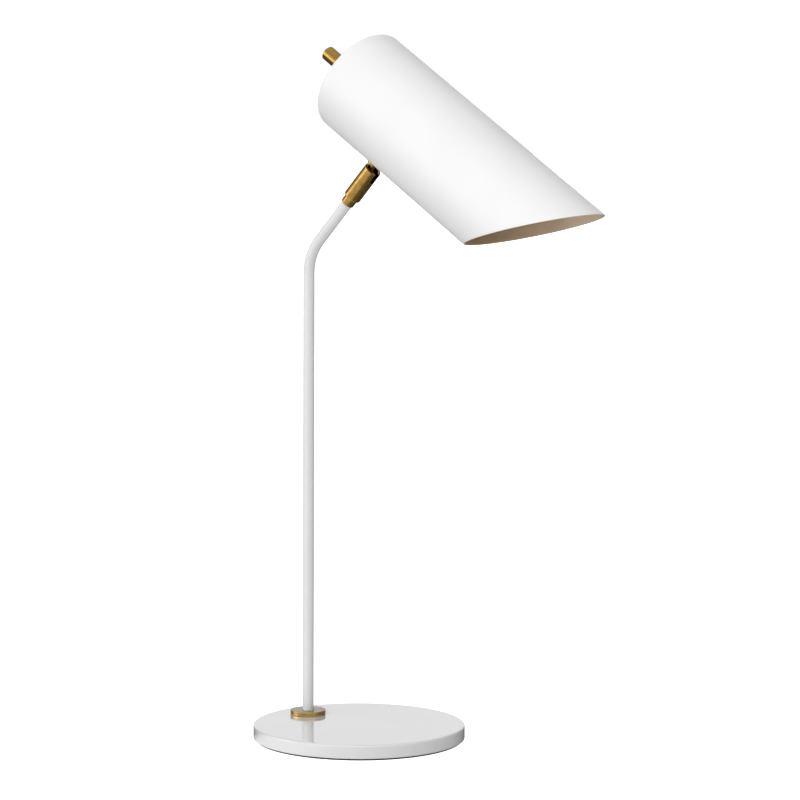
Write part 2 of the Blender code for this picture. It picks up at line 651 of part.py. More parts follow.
def make_sleeve(brass, arm_frame):
    """The swivelling sleeve: a stop pocket, a floor, a spring bore, a ball socket and a side slot."""
    ball = BALL_ALONG_SLEEVE
    lip_radius = SOCKET_RADIUS * math.cos(SOCKET_GRIP)
    hole = SPIGOT_RADIUS + RUNNING_GAP
    narrow = SOCKET_RADIUS - SEAT_STEP
    profile = [
        (SLEEVE_RADIUS - EDGE_BREAK, SLEEVE_LENGTH),
        (SLEEVE_RADIUS, SLEEVE_LENGTH - EDGE_BREAK),
        (SLEEVE_RADIUS, EDGE_BREAK),
        (SLEEVE_RADIUS - EDGE_BREAK, 0),
        (STOP_POCKET_RADIUS, 0),
        (STOP_POCKET_RADIUS, SWIVEL_STOP_DEPTH),
        (hole, SWIVEL_STOP_DEPTH),
        (hole, FLOOR_TOP),
        (narrow, FLOOR_TOP),
        (narrow, LEDGE_HEIGHT),
        (SOCKET_RADIUS, LEDGE_HEIGHT),
    ]
    profile += arc((0, ball), SOCKET_RADIUS, 0, math.degrees(SOCKET_GRIP), 4)
    profile.append((lip_radius + SOCKET_FLARE, SLEEVE_LENGTH))
    sleeve = turned("swivel_sleeve", profile, brass, 36)
    at = (0, 0, SLEEVE_FOOT)
    place(sleeve, arm_frame, at)

    half = SWIVEL_STOP_WIDTH / 2
    low = (hole + STOP_ROOT, -half, RUNNING_GAP)
    high = (STOP_POCKET_RADIUS + STOP_ROOT, half, SWIVEL_STOP_DEPTH + STOP_ROOT)
    combine(sleeve, box_form(low, high), "UNION", arm_frame, at)

    slot = BALL_NECK_DIAMETER / 2 + GAP
    low = (0, -slot, ball - slot)
    high = (2 * SLEEVE_RADIUS, slot, SLEEVE_LENGTH + 3 * slot)
    combine(sleeve, box_form(low, high, 0.99 * slot, along=0, segments=8), "DIFFERENCE", arm_frame, at)


def make_spring_stack(steel, nylon, arm_frame):
    """Under the ball: a nylon seat, a coil spring that presses it up, and the spring's washer."""
    at = (0, 0, SLEEVE_FOOT)
    rim = SOCKET_RADIUS - RUNNING_GAP
    clear_bore = NECK_BORE / 2 + GAP
    washer = ring("spring_washer", clear_bore, rim, SPRING_WASHER_FOOT, SPRING_WASHER_THICKNESS, steel)
    place(washer, arm_frame, at)

    wire = SPRING_WIRE / 2
    coil = rim - GAP - wire
    start = SPRING_FOOT + wire
    rise = SPRING_TOP - wire - start
    per_turn = 10
    points = []
    for index in range(SPRING_TURNS * per_turn + 1):
        angle = 2 * math.pi * index / per_turn
        height = start + rise * index / (SPRING_TURNS * per_turn)
        points.append((coil * math.cos(angle), coil * math.sin(angle), height))
    place(path_object("joint_spring", points, wire, steel), arm_frame, at)

    ball = BALL_ALONG_SLEEVE
    cup = SOCKET_RADIUS
    top_angle = -math.degrees(SEAT_GRIP)
    profile = [(rim, BALL_SEAT_TOP), (rim, BALL_SEAT_FOOT), (clear_bore, BALL_SEAT_FOOT)]
    low_angle = -math.degrees(math.acos(clear_bore / cup))
    profile += arc((0, ball), cup, low_angle, top_angle, 4)
    place(turned("ball_seat", profile, nylon), arm_frame, at)


# ---- Ball stem ----
def make_ball_stem(brass, ball_frame):
    """The ball, its thin neck, the flange under the shade and the hollow threaded end, all one turning."""
    neck = BALL_NECK_DIAMETER / 2
    bore = BALL_BORE / 2
    flange = FLANGE_DIAMETER / 2
    top_angle = math.degrees(math.acos(neck / BALL_RADIUS))
    low_angle = -math.degrees(math.acos(bore / BALL_RADIUS))
    profile = [
        (STUD_RADIUS - EDGE_BREAK, STUD_TOP),
        (STUD_RADIUS, STUD_TOP - EDGE_BREAK),
        (STUD_RADIUS, FLANGE_TOP),
        (flange - EDGE_BREAK, FLANGE_TOP),
        (flange, FLANGE_TOP - EDGE_BREAK),
        (flange, FLANGE_TOP - FLANGE_THICKNESS + EDGE_BREAK),
        (flange - EDGE_BREAK, FLANGE_TOP - FLANGE_THICKNESS),
        (neck, FLANGE_TOP - FLANGE_THICKNESS),
    ]
    profile += arc((0, 0), BALL_RADIUS, top_angle, low_angle, 9)
    profile.append((bore, STUD_TOP))
    place(turned("ball_stem", profile, brass), ball_frame)


# ---- Shade ----
def make_shade(white, brass, head_frame, shade_frame):
    """A tube with a closed rear face and a slanted mouth, and the washer under its mount."""
    corner = SHADE_REAR_RADIUS
    longest = SHADE_AXIS_LENGTH + SHADE_RADIUS / math.tan(SHADE_CUT) + CUT_PAST
    profile = [(SHADE_RADIUS, longest)]
    profile += arc((SHADE_RADIUS - corner, corner), corner, 0, -90, 4)
    profile.append((BUSHING_DIAMETER / 2 + GAP, 0))
    shade = turned("shade_shell", profile, white, FINE_STEPS, wall=SHADE_WALL)
    place(shade, shade_frame)

    block = 2 * longest
    mouth = box_form((-block, -block, 0), (block, block, block))
    at = (0, 0, SHADE_AXIS_LENGTH)
    lean = math.pi / 2 - SHADE_CUT
    combine(shade, mouth, "DIFFERENCE", shade_frame, at, (0, lean, 0))
    hole = cylinder_form(STUD_RADIUS + GAP, BALL_TO_SHADE - CUT_PAST, BALL_TO_SHADE + CUT_PAST, MEDIUM_STEPS)
    combine(shade, hole, "DIFFERENCE", head_frame)

    bore = STUD_RADIUS + GAP
    saddle = ring("shade_saddle", bore, SADDLE_DIAMETER / 2, SADDLE_FOOT, SADDLE_THICKNESS, brass)
    place(saddle, head_frame)


def make_bracket(steel, head_frame, shade_frame):
    """A bent strip: its foot is clamped by the ball stem's nut and its leg carries the lampholder."""
    half = BRACKET_WIDTH / 2
    middle = BRACKET_THICKNESS / 2
    foot = BRACKET_FOOT + middle
    leg = -BRACKET_BACK - middle
    bend = BRACKET_BEND
    outline = [(BRACKET_FRONT, foot)]
    outline += arc((leg + bend, foot + bend), bend, -90, -180, 4)
    outline.append((leg, AXIS_HEIGHT + BRACKET_ABOVE_AXIS))
    form = bmesh.new()
    near = [form.verts.new((x, -half, z)) for x, z in outline]
    far = [form.verts.new((x, half, z)) for x, z in outline]
    for index in range(len(outline) - 1):
        form.faces.new((near[index], near[index + 1], far[index + 1], far[index]))
    bracket = mesh_from("holder_bracket", form, steel)
    strip = bracket.modifiers.new("strip", "SOLIDIFY")
    strip.thickness = BRACKET_THICKNESS
    strip.offset = 0
    place(bracket, head_frame)
    stud_hole = cylinder_form(STUD_RADIUS + GAP, BRACKET_FOOT - CUT_PAST, BRACKET_FOOT + CUT_PAST, SMALL_STEPS)
    combine(bracket, stud_hole, "DIFFERENCE", head_frame)
    nipple_hole = cylinder_form(NIPPLE_DIAMETER / 2 + GAP, LEG_REAR - CUT_PAST, LEG_FRONT + CUT_PAST, SMALL_STEPS)
    combine(bracket, nipple_hole, "DIFFERENCE", shade_frame)

    bore = STUD_RADIUS + GAP
    washer = ring("stud_washer", bore, STUD_NUT_FLATS / 2, STUD_WASHER_FOOT, STUD_WASHER_THICKNESS, steel)
    place(washer, head_frame)
    at = (0, 0, STUD_NUT_FOOT)
    hex_nut("stud_nut", STUD_NUT_FLATS, bore, STUD_NUT_HEIGHT, steel, head_frame, at)


# ---- Lampholder and bulb ----
def make_lampholder(phenolic, steel, brass, shade_frame):
    nipple = ring("holder_nipple", NIPPLE_BORE / 2, NIPPLE_DIAMETER / 2, NIPPLE_START, NIPPLE_LENGTH, steel)
    place(nipple, shade_frame)
    bore = NIPPLE_DIAMETER / 2 + GAP
    at = (0, 0, NIPPLE_NUT_START)
    flats = NIPPLE_DIAMETER + 2 * NUT_WALL
    hex_nut("holder_nut", flats, bore, NIPPLE_NUT_HEIGHT, steel, shade_frame, at)

    radius = HOLDER_DIAMETER / 2
    dome = 0.65 * HOLDER_CAP_HEIGHT
    profile = [(radius, HOLDER_CAP_START + HOLDER_CAP_HEIGHT)]
    for x, z in arc((0, 0), 1, 0, -90, 4):
        reach = radius / 2
        profile.append((radius - reach + reach * x, HOLDER_CAP_START + dome + dome * z))
    profile.append((bore, HOLDER_CAP_START))
    cap = turned("lampholder_cap", profile, phenolic, MEDIUM_STEPS, wall=HOLDER_WALL)
    place(cap, shade_frame)

    shell_outer = SCREW_SHELL_BORE / 2 + SCREW_SHELL_WALL
    rivet = CONTACT_DIAMETER / 2
    profile = [
        (radius - HOLDER_CHAMFER, HOLDER_BODY_END),
        (radius, HOLDER_BODY_END - HOLDER_CHAMFER),
        (radius, HOLDER_BODY_START),
        (rivet + GAP, HOLDER_BODY_START),
        (rivet + GAP, HOLDER_FLOOR_TOP),
        (shell_outer + GAP, HOLDER_FLOOR_TOP),
        (shell_outer + GAP, HOLDER_BODY_END),
    ]
    place(turned("lampholder_body", profile, phenolic), shade_frame)
    foot = HOLDER_FLOOR_TOP + GAP
    shell = ring("screw_shell", SCREW_SHELL_BORE / 2, shell_outer, foot, SCREW_SHELL_HEIGHT, brass)
    place(shell, shade_frame)
    profile = [
        (0, CONTACT_TOP),
        (2 * rivet, CONTACT_TOP),
        (2 * rivet, foot),
        (rivet, foot),
        (rivet, HOLDER_BODY_START + GAP),
        (0, HOLDER_BODY_START + GAP),
    ]
    place(turned("centre_contact", profile, brass, SMALL_STEPS), shade_frame)


def make_bulb(nickel, nylon, diffuser, shade_frame):
    cap = BULB_CAP_DIAMETER / 2
    tip = BULB_START + BULB_TIP_HEIGHT
    profile = [
        (0, BULB_CAP_END),
        (cap, BULB_CAP_END),
        (cap, tip),
        (cap / 2, (BULB_START + tip) / 2),
        (cap / 3, BULB_START),
        (0, BULB_START),
    ]
    place(turned("bulb_cap", profile, nickel), shade_frame)

    radius = BULB_DIAMETER / 2
    top = BULB_HOUSING_START + BULB_HOUSING_HEIGHT
    rim = radius - DOME_STEP
    profile = [(0, top), (rim, top)]
    for index in range(1, 5):
        share = index / 4
        swell = math.cos(share * math.pi / 2)
        profile.append((cap + (rim - cap) * swell, top - BULB_HOUSING_HEIGHT * share))
    profile.append((0, BULB_HOUSING_START))
    place(turned("bulb_housing", profile, nylon), shade_frame)

    profile = [(radius * math.sin(a), BULB_DOME_START + radius * math.cos(a)) for a in quarter_turn(6)]
    profile.append((0, BULB_DOME_START))
    place(turned("bulb_dome", profile, diffuser), shade_frame)


def quarter_turn(count):
    return [math.pi / 2 * index / count for index in range(count + 1)]


# ---- Switch and knob ----
def make_switch(phenolic, brass, shade_frame):
    """A rotary switch inside the rear face, held by a brass ring nut outside it."""
    body = SWITCH_DIAMETER / 2
    bushing = BUSHING_DIAMETER / 2
    bore = SPINDLE_DIAMETER / 2 + RUNNING_GAP
    well = SWITCH_END - SWITCH_LID
    profile = [
        (0, SWITCH_END),
        (body, SWITCH_END),
        (body, SWITCH_START),
        (bushing, SWITCH_START),
        (bushing, -BUSHING_REACH),
        (bore, -BUSHING_REACH),
        (bore, well),
        (0, well),
    ]
    place(turned("switch_body", profile, phenolic), shade_frame)
    foot = -GAP - FERRULE_THICKNESS
    ferrule = ring(
        "switch_ferrule",
        bushing + GAP,
        FERRULE_DIAMETER / 2,
        foot,
        FERRULE_THICKNESS,
        brass,
        36,
        EDGE_BREAK,
    )
    place(ferrule, shade_frame)


def make_knob(brass, steel, knob_frame):
    """The plain brass knob, the spindle that it turns, and the grub screw that holds it there."""
    spindle = SPINDLE_DIAMETER / 2
    inner_end = SWITCH_END - SWITCH_LID - GAP
    profile = [(0, inner_end), (spindle, inner_end), (spindle, -SPINDLE_REACH), (0, -SPINDLE_REACH)]
    place(turned("switch_spindle", profile, steel, SMALL_STEPS), knob_frame)

    radius = KNOB_DIAMETER / 2
    bore = spindle + GAP
    recess = BUSHING_DIAMETER / 2 + GAP
    recess_end = -BUSHING_REACH - 2 * GAP
    well = -SPINDLE_REACH - GAP
    profile = [
        (0, well),
        (bore, well),
        (bore, recess_end),
        (recess, recess_end),
        (recess, -KNOB_START),
        (radius - EDGE_BREAK, -KNOB_START),
        (radius, -KNOB_START - EDGE_BREAK),
        (radius, EDGE_BREAK - KNOB_REACH),
        (radius - EDGE_BREAK, -KNOB_REACH),
        (0, -KNOB_REACH),
    ]
    knob = turned("switch_knob", profile, brass, 36)
    place(knob, knob_frame)
    at = (0, 0, -(BUSHING_REACH + SPINDLE_REACH) / 2)
    sideways = (-math.pi / 2, 0, 0)
    grub = KNOB_SCREW_DIAMETER / 2
    hole = cylinder_form(grub + GAP / 2, 0, radius + CUT_PAST, SMALL_STEPS)
    combine(knob, hole, "DIFFERENCE", knob_frame, at, sideways)
    screw = mesh_from("knob_screw", cylinder_form(grub, spindle + GAP / 2, radius - GAP, SMALL_STEPS), steel)
    place(screw, knob_frame, at, sideways)


# ---- Wiring in the head ----
def make_head_wiring(lead, head_frame):
    """One lead from the ball's bore to the switch, and one from the switch into the lampholder."""
    face = SWITCH_END - MOUNT_FROM_REAR + LEAD_DIAMETER / 2 + GAP      # just ahead of the switch's front face
    clear = BRACKET_WIDTH / 2 + LEAD_DIAMETER + LEAD_AROUND
    low = STUD_TOP + 3 * LEAD_RISE
    leg = -BRACKET_BACK
    knots = [
        (0, 0, -0.7 * BALL_RADIUS),
        (0, 0, STUD_TOP),
        (0, 0.1 * clear, STUD_TOP + LEAD_RISE),
        (0.3 * leg, 0.7 * clear, low),
        (leg, clear, low + 0.6 * LEAD_RISE),
        (0.7 * face + 0.3 * leg, 0.8 * clear, 0.5 * (low + AXIS_HEIGHT)),
        (face, 0.25 * SWITCH_DIAMETER, AXIS_HEIGHT - 0.13 * SWITCH_DIAMETER),
    ]
    route = [Vector(knots[0])] + smooth_path(knots[1:])
    place(path_object("head_lead", route, LEAD_DIAMETER / 2, lead), head_frame)

    nipple = NIPPLE_START - MOUNT_FROM_REAR
    knots = [
        (face, -0.2 * SWITCH_DIAMETER, AXIS_HEIGHT - 0.07 * SWITCH_DIAMETER),
        (0.6 * face + 0.4 * nipple, -0.15 * SWITCH_DIAMETER, AXIS_HEIGHT - 0.03 * SWITCH_DIAMETER),
        (nipple, 0, AXIS_HEIGHT),
        (nipple + NIPPLE_LENGTH, 0, AXIS_HEIGHT),
    ]
    place(path_object("switch_lead", smooth_path(knots, 5), LEAD_DIAMETER / 2, lead), head_frame)


def build():
    global PARTS, CUTTERS
    clear_scene()
    PARTS = new_collection("desk_lamp")
    CUTTERS = new_collection("cutters")

    white = new_material("white_paint", (0.86, 0.86, 0.85), 0.3)
    gloss = new_material("gloss_white_paint", (0.82, 0.82, 0.81), 0.12)
    brass = new_material("aged_brass", (0.55, 0.38, 0.16), 0.32, 1.0)
    steel = new_material("zinc_steel", (0.55, 0.55, 0.56), 0.4, 1.0)
    nickel = new_material("nickel", (0.66, 0.64, 0.6), 0.25, 1.0)
    felt = new_material("dark_felt", (0.04, 0.04, 0.045), 0.95)
    rubber = new_material("black_rubber", (0.03, 0.03, 0.03), 0.8)
    nylon = new_material("white_nylon", (0.8, 0.8, 0.78), 0.5)
    phenolic = new_material("black_phenolic", (0.03, 0.03, 0.032), 0.35)
    diffuser = new_material("opal_diffuser", (0.9, 0.9, 0.88), 0.3)
    lead = new_material("lead_sheath", (0.75, 0.75, 0.74), 0.6)

    arm_frame = new_frame("arm_frame", None, (STEM_X, 0, ELBOW_HEIGHT), (0, ARM_LEAN, 0))
    swivel_frame = new_frame("swivel_frame", arm_frame)
    along = SLEEVE_FOOT + BALL_ALONG_SLEEVE
    ball_frame = new_frame("ball_frame", swivel_frame, (0, 0, along), (0, -HEAD_LIFT, 0))
    head_frame = new_frame("head_frame", ball_frame)
    shade_frame = new_frame("shade_frame", head_frame, (-MOUNT_FROM_REAR, 0, AXIS_HEIGHT), (0, math.pi / 2, 0))
    knob_frame = new_frame("knob_frame", shade_frame)

    make_base(gloss, felt, rubber)
    make_stem(white, brass)
    make_stem_fastening(steel, brass)
    make_stand_wiring(nylon, steel, lead)
    make_neck(brass, steel, arm_frame)
    make_sleeve(brass, swivel_frame)
    make_spring_stack(steel, nylon, swivel_frame)
    make_ball_stem(brass, ball_frame)
    make_shade(white, brass, head_frame, shade_frame)
    make_bracket(steel, head_frame, shade_frame)
    make_lampholder(phenolic, steel, brass, shade_frame)
    make_bulb(nickel, nylon, diffuser, shade_frame)
    make_switch(phenolic, brass, shade_frame)
    make_knob(brass, steel, knob_frame)
    make_head_wiring(lead, head_frame)
    bpy.context.view_layer.update()


build()
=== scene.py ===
# %% [markdown]
# # A desk lamp with a slant-cut shade
# The lamp stands on a heavy painted disc. A thin painted tube rises from a brass collar, bends over at an
# elbow and ends in a brass knuckle. A ball in that knuckle carries a painted tube shade whose mouth is cut at
# 45 degrees, with a small brass knob on its closed end. The imported solids give every size and place; this
# lesson turns them into smooth, finished surfaces. We load them first.

# %% Load the imported lamp
import json
import math

import bmesh
import bpy
from mathutils import Matrix, Vector


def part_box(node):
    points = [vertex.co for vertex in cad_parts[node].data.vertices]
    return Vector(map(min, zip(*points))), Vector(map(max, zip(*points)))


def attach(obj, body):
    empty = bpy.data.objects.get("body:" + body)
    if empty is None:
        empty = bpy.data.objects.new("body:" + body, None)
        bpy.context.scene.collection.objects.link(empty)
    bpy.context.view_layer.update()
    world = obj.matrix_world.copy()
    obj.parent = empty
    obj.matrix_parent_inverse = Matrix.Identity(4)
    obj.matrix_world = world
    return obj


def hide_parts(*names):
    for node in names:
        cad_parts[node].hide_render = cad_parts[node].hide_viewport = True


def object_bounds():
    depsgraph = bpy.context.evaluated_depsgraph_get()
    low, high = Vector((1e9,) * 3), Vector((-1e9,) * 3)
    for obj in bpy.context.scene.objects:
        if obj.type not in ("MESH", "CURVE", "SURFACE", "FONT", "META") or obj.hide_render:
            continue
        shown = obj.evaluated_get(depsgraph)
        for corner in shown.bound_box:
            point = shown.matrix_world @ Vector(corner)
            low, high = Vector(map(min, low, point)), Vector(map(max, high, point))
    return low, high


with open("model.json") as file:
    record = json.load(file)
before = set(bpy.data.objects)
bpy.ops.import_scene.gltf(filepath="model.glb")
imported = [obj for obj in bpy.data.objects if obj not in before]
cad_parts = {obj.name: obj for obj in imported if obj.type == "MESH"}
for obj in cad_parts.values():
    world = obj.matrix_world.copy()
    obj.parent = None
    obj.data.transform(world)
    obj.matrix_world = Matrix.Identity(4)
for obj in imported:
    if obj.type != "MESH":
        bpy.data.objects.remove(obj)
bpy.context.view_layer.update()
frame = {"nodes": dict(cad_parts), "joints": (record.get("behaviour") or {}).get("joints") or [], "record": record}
nodes = frame["nodes"]
joints = {joint["name"]: joint for joint in frame["joints"]}
MM = 0.001

# %% [markdown]
# ## Axes to build on
# Most pieces of a lamp are turned on a lathe, so each is round about some line. Three of those lines are
# joints of the record: the arm, the ball's stem and the shade. A matrix with its Z axis on such a line lets
# us write a piece upright and set it down in place. `spans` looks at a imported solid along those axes, so that
# outer sizes are read from the solids instead of being typed in twice. Bores and walls, which a box doesn't
# show, are named where they are used.


# %% Axes of the arm, the ball's stem and the shade
def axes_on(joint):
    """Z runs along the joint, Y across the lamp, X forward and down."""
    z = Vector(joint["axis"]).normalized()
    y = Vector((0, 1, 0))
    turn = Matrix((y.cross(z), y, z)).transposed().to_4x4()
    return Matrix.Translation(joint["pos_m"]) @ turn


def spans(node, axes):
    """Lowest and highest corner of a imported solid, seen along the given axes."""
    inverse = axes.inverted()
    points = [inverse @ vertex.co for vertex in nodes[node].data.vertices]
    low = Vector(min(point[i] for point in points) for i in range(3))
    high = Vector(max(point[i] for point in points) for i in range(3))
    return low, high


arm_axes = axes_on(joints["sleeve_swivel"])
ball_axes = axes_on(joints["head_turn"])
shade_axes = axes_on(joints["knob_turn"])
collar_low, collar_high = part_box("stem_collar")
stem_x = (collar_low.x + collar_high.x) / 2
stem_axes = Matrix.Translation((stem_x, 0, 0))
flat_axes = Matrix.Identity(4)
print("stem stands at x =", round(stem_x / MM, 1), "mm")

# %% [markdown]
# ## The camera
# A long lens from two and a half metres keeps the verticals straight, as a catalogue view does. The camera
# stands level with the top of the arm, a quarter turn round towards the mouth, and looks slightly down. We
# build its turn from the direction it looks in, with a hair of roll.

# %% Camera
CAMERA_PLACE = Vector((1.754, -1.9026, 0.5454))
CAMERA_HEADING = 2.30231        # radians from +X, seen from above
CAMERA_PITCH = -0.0953
CAMERA_ROLL = 0.0051

camera_data = bpy.data.cameras.new("catalogue_lens")
camera_data.sensor_width = 36
camera_data.lens = 135
camera_data.clip_start = 0.05
camera = bpy.data.objects.new("catalogue_camera", camera_data)
bpy.context.scene.collection.objects.link(camera)
level = math.cos(CAMERA_PITCH)
look = Vector((math.cos(CAMERA_HEADING) * level, math.sin(CAMERA_HEADING) * level, math.sin(CAMERA_PITCH)))
camera.rotation_mode = "QUATERNION"
roll = Matrix.Rotation(CAMERA_ROLL, 4, "Z").to_quaternion()
camera.rotation_quaternion = look.to_track_quat("-Z", "Y") @ roll
camera.location = CAMERA_PLACE
bpy.context.scene.camera = camera
print("camera looks along", [round(x, 3) for x in look])

# %% [markdown]
# ## Shared finishes, as node groups
# Several materials need the same small effects: the orange peel of sprayed paint, lathe lines on turned
# metal, wear on edges, tarnish in corners on brass and painted shade in corners elsewhere, and a trace of
# dust. Each effect is one node group with named inputs and outputs. A group only gives out masks and heights;
# the shader itself stays in the material. Two helpers keep the node code short.


# %% Helpers for node trees
def new_group(name, inputs, outputs):
    """A shader group with float inputs (name, value) and float outputs (name)."""
    group = bpy.data.node_groups.new(name, "ShaderNodeTree")
    for label, value in inputs:
        socket = group.interface.new_socket(label, in_out="INPUT", socket_type="NodeSocketFloat")
        socket.default_value = value
    for label in outputs:
        group.interface.new_socket(label, in_out="OUTPUT", socket_type="NodeSocketFloat")
    return group, group.nodes.new("NodeGroupInput"), group.nodes.new("NodeGroupOutput")


def put(tree, kind, settings=None, **inputs):
    """Adds a node. Settings are its own properties; inputs are values or sockets, by input name."""
    node = tree.nodes.new("ShaderNode" + kind)
    for key, value in (settings or {}).items():
        setattr(node, key, value)
    for key, value in inputs.items():
        name = key.replace("_", " ")
        socket = node.inputs[int(name[1:])] if name[1:].isdigit() else node.inputs[name]
        if isinstance(value, bpy.types.NodeSocket):
            tree.links.new(value, socket)
        else:
            socket.default_value = value
    return node


def calc(tree, operation, a, b=0.0):
    """One Math node; returns its output."""
    return put(tree, "Math", {"operation": operation}, i0=a, i1=b).outputs[0]


def fit(tree, value, low, high, to_low=0.0, to_high=1.0):
    """Maps a value from one range to another, and keeps it inside."""
    node = put(tree, "MapRange", {"clamp": True})
    tree.links.new(value, node.inputs["Value"])
    node.inputs["From Min"].default_value = low
    node.inputs["From Max"].default_value = high
    node.inputs["To Min"].default_value = to_low
    node.inputs["To Max"].default_value = to_high
    return node.outputs["Result"]


# %% [markdown]
# ### Sprayed paint
# Paint that dries on metal keeps a faint skin of ripples about a millimetre apart, called orange peel, on top
# of broad, very shallow clouds. Both are noise in the object's own coordinates, so they stay put on the
# piece.

# %% Group: sprayed paint
peel_group, start, end = new_group("sprayed_paint", [("Ripples Per Metre", 750.0)], ["Height", "Clouds"])
place = put(peel_group, "TexCoord").outputs["Object"]
ripples = put(peel_group, "TexNoise", Vector=place, Scale=start.outputs[0], Detail=2.0, Roughness=0.45)
clouds = put(peel_group, "TexNoise", Vector=place, Scale=26.0, Detail=3.0, Roughness=0.55)
peel_group.links.new(ripples.outputs[0], end.inputs["Height"])
peel_group.links.new(fit(peel_group, clouds.outputs[0], 0.3, 0.7), end.inputs["Clouds"])
print("made", peel_group.name)

# %% [markdown]
# ### Lathe lines
# A cutting tool leaves fine rings round a turned piece. Each turned mesh carries an attribute, `lathe_at`,
# that says where a point is round the piece and along it. Noise that is stretched many times round the piece
# and squeezed along it gives broken rings with no seam.

# %% Group: lathe lines
lathe_group, start, end = new_group("lathe_lines", [("Lines Per Metre", 9000.0)], ["Lines", "Bands"])
place = put(lathe_group, "Attribute", {"attribute_name": "lathe_at"}).outputs["Vector"]
for label, round_share, along_share, detail in (("Lines", 0.012, 1.0, 4.0), ("Bands", 0.01, 0.11, 2.0)):
    squeeze = put(lathe_group, "CombineXYZ", X=round_share, Y=round_share, Z=along_share).outputs[0]
    stretched = put(lathe_group, "VectorMath", {"operation": "MULTIPLY"}, i0=place, i1=squeeze).outputs[0]
    rings = put(lathe_group, "TexNoise", Vector=stretched, Scale=start.outputs[0], Detail=detail)
    lathe_group.links.new(fit(lathe_group, rings.outputs[0], 0.3, 0.7), end.inputs[label])
print("made", lathe_group.name)

# %% [markdown]
# ### Wear, tarnish and corner shade
# Hands and cloths polish the outside edges, and never reach the inside corners. Our meshes carry two more
# attributes, `edge_near` and `corner_near`, which are 1 on such a line and fade to 0 a short way off. Noise
# breaks both up, because real wear is never even. On brass the dark in the corners is patina; on the plain
# finishes it is painted shade.

# %% Group: edge wear, and group: tarnish and corner shade
wear_group, start, end = new_group("edge_wear", [("Spread", 0.5), ("Break Up", 0.35)], ["Worn"])
place = put(wear_group, "TexCoord").outputs["Object"]
near = put(wear_group, "Attribute", {"attribute_name": "edge_near"}).outputs["Fac"]
nicks = put(wear_group, "TexNoise", Vector=place, Scale=900.0, Detail=4.0).outputs[0]
ragged = calc(wear_group, "MULTIPLY", calc(wear_group, "SUBTRACT", nicks, 0.5), start.outputs["Break Up"])
reach = calc(wear_group, "ADD", calc(wear_group, "SUBTRACT", near, 1.0), start.outputs["Spread"])
wear_group.links.new(fit(wear_group, calc(wear_group, "ADD", reach, ragged), 0.0, 0.4), end.inputs["Worn"])

# Dark in inside corners and in random patches: patina on brass, painted shade in the corners of the plain
# finishes.
tarnish_and_shade_group, start, end = new_group("tarnish", [("Patch Scale", 160.0), ("In Corners", 0.8)], ["Dark"])
place = put(tarnish_and_shade_group, "TexCoord").outputs["Object"]
corner = put(tarnish_and_shade_group, "Attribute", {"attribute_name": "corner_near"}).outputs["Fac"]
patches = put(tarnish_and_shade_group, "TexNoise", Vector=place, Scale=start.outputs[0], Detail=5.0, Roughness=0.6)
hidden = calc(tarnish_and_shade_group, "MULTIPLY", corner, start.outputs["In Corners"])
soft_patches = fit(tarnish_and_shade_group, patches.outputs[0], 0.42, 0.72)
tarnish_and_shade_group.links.new(calc(tarnish_and_shade_group, "MAXIMUM", hidden, soft_patches), end.inputs["Dark"])
print("made", wear_group.name, "and", tarnish_and_shade_group.name)

# %% [markdown]
# ### Dust
# A little dust settles where a surface faces up. The group looks at the normal's upward part and keeps only
# the tops of a fine noise, so that it reads as separate grains.

# %% Group: settled dust
dust_group, start, end = new_group("settled_dust", [("Amount", 0.4)], ["Mask"])
place = put(dust_group, "TexCoord").outputs["Object"]
facing = put(dust_group, "SeparateXYZ", Vector=put(dust_group, "NewGeometry").outputs["Normal"]).outputs["Z"]
grains = put(dust_group, "TexNoise", Vector=place, Scale=2600.0, Detail=2.0).outputs[0]
drift = put(dust_group, "TexNoise", Vector=place, Scale=35.0, Detail=3.0).outputs[0]
tops = calc(dust_group, "MULTIPLY", fit(dust_group, grains, 0.62, 0.7), fit(dust_group, drift, 0.4, 0.65))
upward = calc(dust_group, "MULTIPLY", fit(dust_group, facing, 0.3, 0.9), start.outputs["Amount"])
dust_group.links.new(calc(dust_group, "MULTIPLY", tops, upward), end.inputs["Mask"])
print("made", dust_group.name)


# %% Helpers for materials
def new_finish(name, **constants):
    """A material with one Principled shader; constants are set on the shader's own sockets."""
    material = bpy.data.materials.new(name)
    material.use_nodes = True
    tree = material.node_tree
    shader = tree.nodes["Principled BSDF"]
    for key, value in constants.items():
        shader.inputs[key.replace("_", " ")].default_value = value
    return material, tree, shader


def use(tree, group, **inputs):
    """Places a shared group in a material with its own values."""
    node = tree.nodes.new("ShaderNodeGroup")
    node.node_tree = group
    for key, value in inputs.items():
        node.inputs[key.replace("_", " ")].default_value = value
    return node


def blend_colour(tree, share, first, second):
    """Mixes two colours, each a tuple or a socket, by a mask."""
    node = put(tree, "Mix", {"data_type": "RGBA"})
    tree.links.new(share, node.inputs["Factor"])
    for value, socket in ((first, node.inputs[6]), (second, node.inputs[7])):
        if isinstance(value, tuple):
            socket.default_value = (*value, 1.0)
        else:
            tree.links.new(value, socket)
    return node.outputs[2]


def bump(tree, shader, height, strength, distance):
    """Feeds a height to the shader's normal."""
    node = put(tree, "Bump", Height=height, Strength=strength, Distance=distance)
    tree.links.new(node.outputs["Normal"], shader.inputs["Normal"])


# %% [markdown]
# ## The painted finishes
# The stem and the shade wear a satin white and the base a glossy one, which mirrors the stem like a calm
# pond. The stem's satin white is a darker copy of the shade's, a painted shade. The same recipe makes all
# three: peel for the bump, clouds that shift the tone and the gloss by a little, slightly greyer paint on worn
# edges, and dust. The base's gloss comes from a clear coat on top.


# %% White paints
RUBBED_PAINT = (0.7, 0.69, 0.67)
DUST_GREY = (0.55, 0.53, 0.5)


